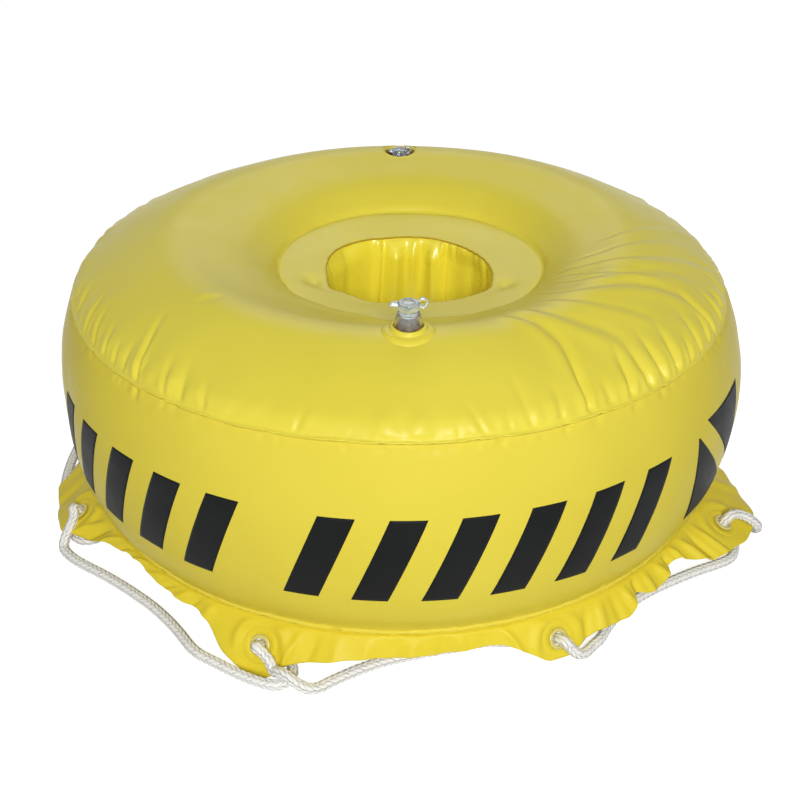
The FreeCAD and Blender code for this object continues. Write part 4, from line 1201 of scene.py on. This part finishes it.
def valve_pieces(prefix, spot, foot_z, body, reach=1.0):
    """A valve's clear cone, and the plug that slides out of it."""
    base = (*spot, foot_z)
    cone = make_mesh(prefix + "_valve_cone", *lathe_mesh(STEM_OUTLINE, VALVE_SIDES, base),
                     "valve_clear", prefix + "_valve_stem")
    # Painted shade at the cone's foot: the inner wall's lower rows get a low rise, which its material
    # turns orange-brown.
    painted_foot = np.ones(len(STEM_OUTLINE))
    painted_foot[PAINTED_FOOT_ROWS] = PAINTED_FOOT_SHARE
    mark(cone, "rise", np.repeat(painted_foot, VALVE_SIDES))
    a = np.linspace(np.pi / 2, 3 * np.pi / 2, 17)
    tab_end = np.column_stack([-11.0 + 3.2 * np.cos(a), 3.2 * np.sin(a)])
    tab = np.vstack([[(-6.4, -3.2), (-6.4, 3.2)], tab_end])
    lean = math.radians(EYE_LEAN)
    parts = [
        solid_lathe(PLUG_OUTLINE, VALVE_SIDES),
        slab_mesh(tab, 22.0, 24.2, 0.6),
        ring_mesh(EYE_MIDDLE, (0, -math.cos(lean), math.sin(lean)), 3.1, 1.2),
        rod_mesh((6.6, 0, 23.0), (8.4, 0, 23.6), 1.3),
    ]
    for own, _ in parts[1:]:
        own[:, 0] *= reach
    points, faces = joined(parts)
    plug = make_mesh(prefix + "_plug_cap", points + np.array(base), faces, "plug_clear",
                     prefix + "_valve_plug", body)
    mark(plug, "milky", points[:, 2] < SHAFT_TOP)
    for piece in (cone, plug):
        piece.data.set_sharp_from_angle(angle=math.radians(50))
    return cone, plug


front_cone, front_plug = valve_pieces("front", FRONT_VALVE, STEM_FOOT_Z, "front_plug")
rear_cone, rear_plug = valve_pieces("rear", REAR_VALVE, REAR_FOOT_Z, "rear_plug", 0.8)

# ---- materials ---------------------------------------------------------------------------------
def material(name):
    """A new material with its node tree and its shader."""
    made = bpy.data.materials.new(name)
    made.use_nodes = True
    return made, made.node_tree, made.node_tree.nodes["Principled BSDF"]


def set_inputs(node, values):
    """Sets a node's inputs by name."""
    for name, value in values.items():
        node.inputs[name].default_value = value


def object_noise(tree, scale, detail=4.0):
    """Noise in the object's own coordinates, in metres."""
    where = tree.nodes.new("ShaderNodeTexCoord")
    noise = tree.nodes.new("ShaderNodeTexNoise")
    set_inputs(noise, {"Scale": scale, "Detail": detail, "Roughness": 0.55})
    tree.links.new(where.outputs["Object"], noise.inputs["Vector"])
    return noise.outputs["Fac"]


def colour_by(tree, factor, stops, target):
    """Feeds an input of the shader with colours along a factor, as (position, colour)."""
    node = tree.nodes.new("ShaderNodeValToRGB")
    elements = node.color_ramp.elements
    while len(elements) < len(stops):
        elements.new(0.5)
    for element, (position, colour) in zip(elements, stops):
        element.position = position
        element.color = (*colour, 1.0)
    tree.links.new(factor, node.inputs["Fac"])
    tree.links.new(node.outputs["Color"], tree.nodes["Principled BSDF"].inputs[target])


def colour_by_mark(tree, name, stops, target):
    """Feeds an input of the shader with colours along a mark that the points carry."""
    source = tree.nodes.new("ShaderNodeAttribute")
    source.attribute_name = name
    colour_by(tree, source.outputs["Fac"], stops, target)


def grey(value):
    return (value, value, value)


def add_bump(tree, shader, height, strength, distance):
    """Small relief of a surface from a height."""
    node = tree.nodes.new("ShaderNodeBump")
    set_inputs(node, {"Strength": strength, "Distance": distance})
    tree.links.new(height, node.inputs["Height"])
    tree.links.new(node.outputs["Normal"], shader.inputs["Normal"])


def sheet_material(name, pale, deep, rough, bump=0.12, level=0.3):
    """Smooth soft plastic sheet, a little uneven in colour and gloss."""
    made, tree, shader = material(name)
    colour_by(tree, object_noise(tree, 9.0), [(0.3, deep), (0.7, pale)], "Base Color")
    colour_by(tree, object_noise(tree, 38.0), [(0.3, grey(rough - 0.05)), (0.7, grey(rough + 0.06))],
              "Roughness")
    add_bump(tree, shader, object_noise(tree, 520.0, 3.0), bump, 0.0004)
    shader.inputs["Specular IOR Level"].default_value = level
    return made


yellow = sheet_material("yellow_pvc", (0.80, 0.69, 0.072), (0.765, 0.65, 0.062), 0.33, level=0.17)
# Painted shade: the side band is a darker, more orange copy of the same yellow sheet.
band_yellow_painted_shade = sheet_material("band_pvc_painted_shade", (0.77, 0.645, 0.072), (0.74, 0.61, 0.064), 0.32, level=0.03)
# Painted sheen: the weld ring is a slightly paler, bluer copy of the same yellow sheet.
ring_yellow_painted_sheen = sheet_material("ring_pvc_painted_sheen", (0.81, 0.70, 0.075), (0.775, 0.665, 0.067), 0.36, level=0.22)
# Painted light: the sleeve is a lighter, more saturated copy of the same yellow sheet, standing in for
# light bounced inside the hole.
sleeve_yellow_painted_light = sheet_material("sleeve_pvc_painted_light", (0.93, 0.80, 0.058), (0.90, 0.77, 0.05), 0.29, level=0.6)
# Painted shade: the skirt and its patches are a darker, more orange copy of the same yellow sheet.
skirt_yellow_painted_shade = sheet_material("skirt_pvc_painted_shade", (0.79, 0.645, 0.042), (0.75, 0.595, 0.034), 0.42, 0.2, 0.14)
print_black = sheet_material("print_ink", (0.012, 0.013, 0.013), (0.009, 0.01, 0.01), 0.5, level=0.07)
# Painted shade: the dark brown of the ring's cut edge stands in for shade in the gap beside it.
cut_edge_shade_brown = sheet_material("cut_edge", (0.52, 0.34, 0.03), (0.46, 0.29, 0.02), 0.5)
# Painted shade: the cup goes from yellow to dark brown with depth below its rim.
cup_yellow_painted_shade = sheet_material("cup_yellow_painted_shade", (0.80, 0.69, 0.072), (0.765, 0.65, 0.062), 0.4)
colour_by_mark(cup_yellow_painted_shade.node_tree, "depth",
               [(0.0, (0.80, 0.69, 0.072)), (0.5, (0.58, 0.33, 0.05)), (1.0, (0.36, 0.16, 0.04))],
               "Base Color")
eyelet_soft, _, shader = material("eyelet_plastic")
set_inputs(shader, {"Base Color": (0.82, 0.72, 0.22, 1), "Roughness": 0.3, "Transmission Weight": 0.25})


def clear_material(name, tint, rough, clear):
    """Clear plastic with a tint."""
    made, tree, shader = material(name)
    set_inputs(shader, {"Base Color": (*tint, 1), "Roughness": rough, "Transmission Weight": clear,
                        "IOR": 1.46})
    return made, tree


valve_clear, tree = clear_material("valve_clear", (0.90, 0.93, 0.93), 0.05, 0.93)
# Painted shade and a painted see-through view of the yellow panel: low rise values turn the cone
# orange-brown at its foot.
colour_by_mark(tree, "rise",
               [(0.1, (0.55, 0.22, 0.01)), (0.45, (0.82, 0.58, 0.2)), (0.8, (0.95, 0.97, 0.97))],
               "Base Color")
plug_clear, tree = clear_material("plug_clear", (0.72, 0.80, 0.87), 0.06, 0.78)
# Painted reflections: noise mottles the plug with dark and pale blue-greys that stand in for its
# refractions.
colour_by(tree, object_noise(tree, 260.0, 2.0),
          [(0.38, (0.40, 0.50, 0.57)), (0.48, (0.72, 0.80, 0.86)), (0.58, (0.95, 0.97, 0.98))],
          "Base Color")
colour_by_mark(tree, "milky", [(0.2, grey(0.78)), (0.8, grey(0.35))], "Transmission Weight")

rope_white, tree, shader = material("braided_rope")
shader.inputs["Roughness"].default_value = 0.75
# Painted shade: the grooves between plaits are a darker warm grey, the tops of the plaits near white.
colour_by_mark(tree, "plait",
               [(0.2, (0.38, 0.35, 0.29)), (0.55, (0.78, 0.77, 0.74)), (0.85, (0.93, 0.93, 0.91))],
               "Base Color")
weave = tree.nodes.new("ShaderNodeUVMap")
threads = tree.nodes.new("ShaderNodeTexNoise")
threads.inputs["Scale"].default_value = 14.0
tree.links.new(weave.outputs["UV"], threads.inputs["Vector"])
add_bump(tree, shader, threads.outputs["Fac"], 0.3, 0.0003)

# Each finish with its pieces, and with the CAD nodes that it goes on too.
FINISHES = [
    (yellow, [top_panel, bottom_panel, bottom_ring, front_flange],
     ["top_panel", "bottom_panel", "bottom_weld_ring", "front_valve_flange"]),
    (band_yellow_painted_shade, [side_band], ["side_band"]),
    (ring_yellow_painted_sheen, [top_ring], ["top_weld_ring"]),
    (sleeve_yellow_painted_light, [sleeve], ["inner_sleeve"]),
    (cup_yellow_painted_shade, [rear_cup], ["rear_valve_flange"]),
    (skirt_yellow_painted_shade, [skirt, patch_discs], ["skirt", "eyelet_patches"]),
    (eyelet_soft, [eyelet_rims], ["eyelets"]),
    (print_black, [print_bars], []),
    (cut_edge_shade_brown, [cut_edge], []),
    (rope_white, [grab_rope, knot], ["grab_rope", "rope_knot"]),
    (valve_clear, [front_cone, rear_cone], ["front_valve_stem", "rear_valve_stem"]),
    (plug_clear, [front_plug, rear_plug], ["front_valve_plug", "rear_valve_plug"]),
]
for finish, pieces, names in FINISHES:
    for piece in pieces:
        piece.data.materials.append(finish)
    for node in [o for o in bpy.data.objects if o.type == "MESH" and o.name.split(".")[0] in names]:
        node.data.materials.clear()
        node.data.materials.append(finish)

# ---- light and floor ---------------------------------------------------------------------------
WORLD_LIGHT = 0.155
FLOOR_GLOW = 0.78
scene = bpy.context.scene
scene.view_settings.view_transform = "Standard"


def by_view(tree, unseen, shown, target):
    """Gives an input one value for camera, glossy and transmission rays, and another for the rest."""
    path = tree.nodes.new("ShaderNodeLightPath")
    value = path.outputs["Is Camera Ray"]
    for ray in ("Is Glossy Ray", "Is Transmission Ray"):
        larger = tree.nodes.new("ShaderNodeMath")
        larger.operation = "MAXIMUM"
        tree.links.new(value, larger.inputs[0])
        tree.links.new(path.outputs[ray], larger.inputs[1])
        value = larger.outputs[0]
    level = tree.nodes.new("ShaderNodeMapRange")
    set_inputs(level, {"To Min": unseen, "To Max": shown})
    tree.links.new(value, level.inputs["Value"])
    tree.links.new(level.outputs["Result"], target)


world = bpy.data.worlds.new("world")
scene.world = world
world.use_nodes = True
backdrop = world.node_tree.nodes["Background"]
backdrop.inputs["Color"].default_value = (1, 1, 1, 1)
by_view(world.node_tree, WORLD_LIGHT, 1.0, backdrop.inputs["Strength"])


def area_light(name, at, aim, size, power):
    """Round lamp at a place, turned to a point."""
    data = bpy.data.lights.new(name, "AREA")
    data.shape = "DISK"
    data.size = size
    data.energy = power
    lamp = bpy.data.objects.new(name, data)
    scene.collection.objects.link(lamp)
    lamp.location = at
    lamp.rotation_mode = "QUATERNION"
    lamp.rotation_quaternion = (Vector(aim) - Vector(at)).to_track_quat("-Z", "Y")


area_light("key", (0.14, -2.24, 1.46), (0, 0, 0.15), 0.8, 50.0)
area_light("top", (0.0, 2.0, 1.9), (0, 0, 0.15), 1.6, 11.0)

FLOOR_HALF = 6.0
FLOOR_DROP = 0.0004       # keeps the floor just under the buoy's flat face
corners = [(-FLOOR_HALF, -FLOOR_HALF, 0), (FLOOR_HALF, -FLOOR_HALF, 0), (FLOOR_HALF, FLOOR_HALF, 0),
           (-FLOOR_HALF, FLOOR_HALF, 0)]
floor_mesh = bpy.data.meshes.new("floor")
floor_mesh.from_pydata(corners, [], [(0, 1, 2, 3)])
floor = bpy.data.objects.new("floor", floor_mesh)
scene.collection.objects.link(floor)
floor.location.z = -FLOOR_DROP
floor_white, tree, shader = material("floor_white")
set_inputs(shader, {"Base Color": (0.62, 0.62, 0.62, 1), "Roughness": 1.0, "Specular IOR Level": 0.0,
                    "Emission Color": (1, 1, 1, 1)})
by_view(tree, 0.0, FLOOR_GLOW, shader.inputs["Emission Strength"])
floor_mesh.materials.append(floor_white)
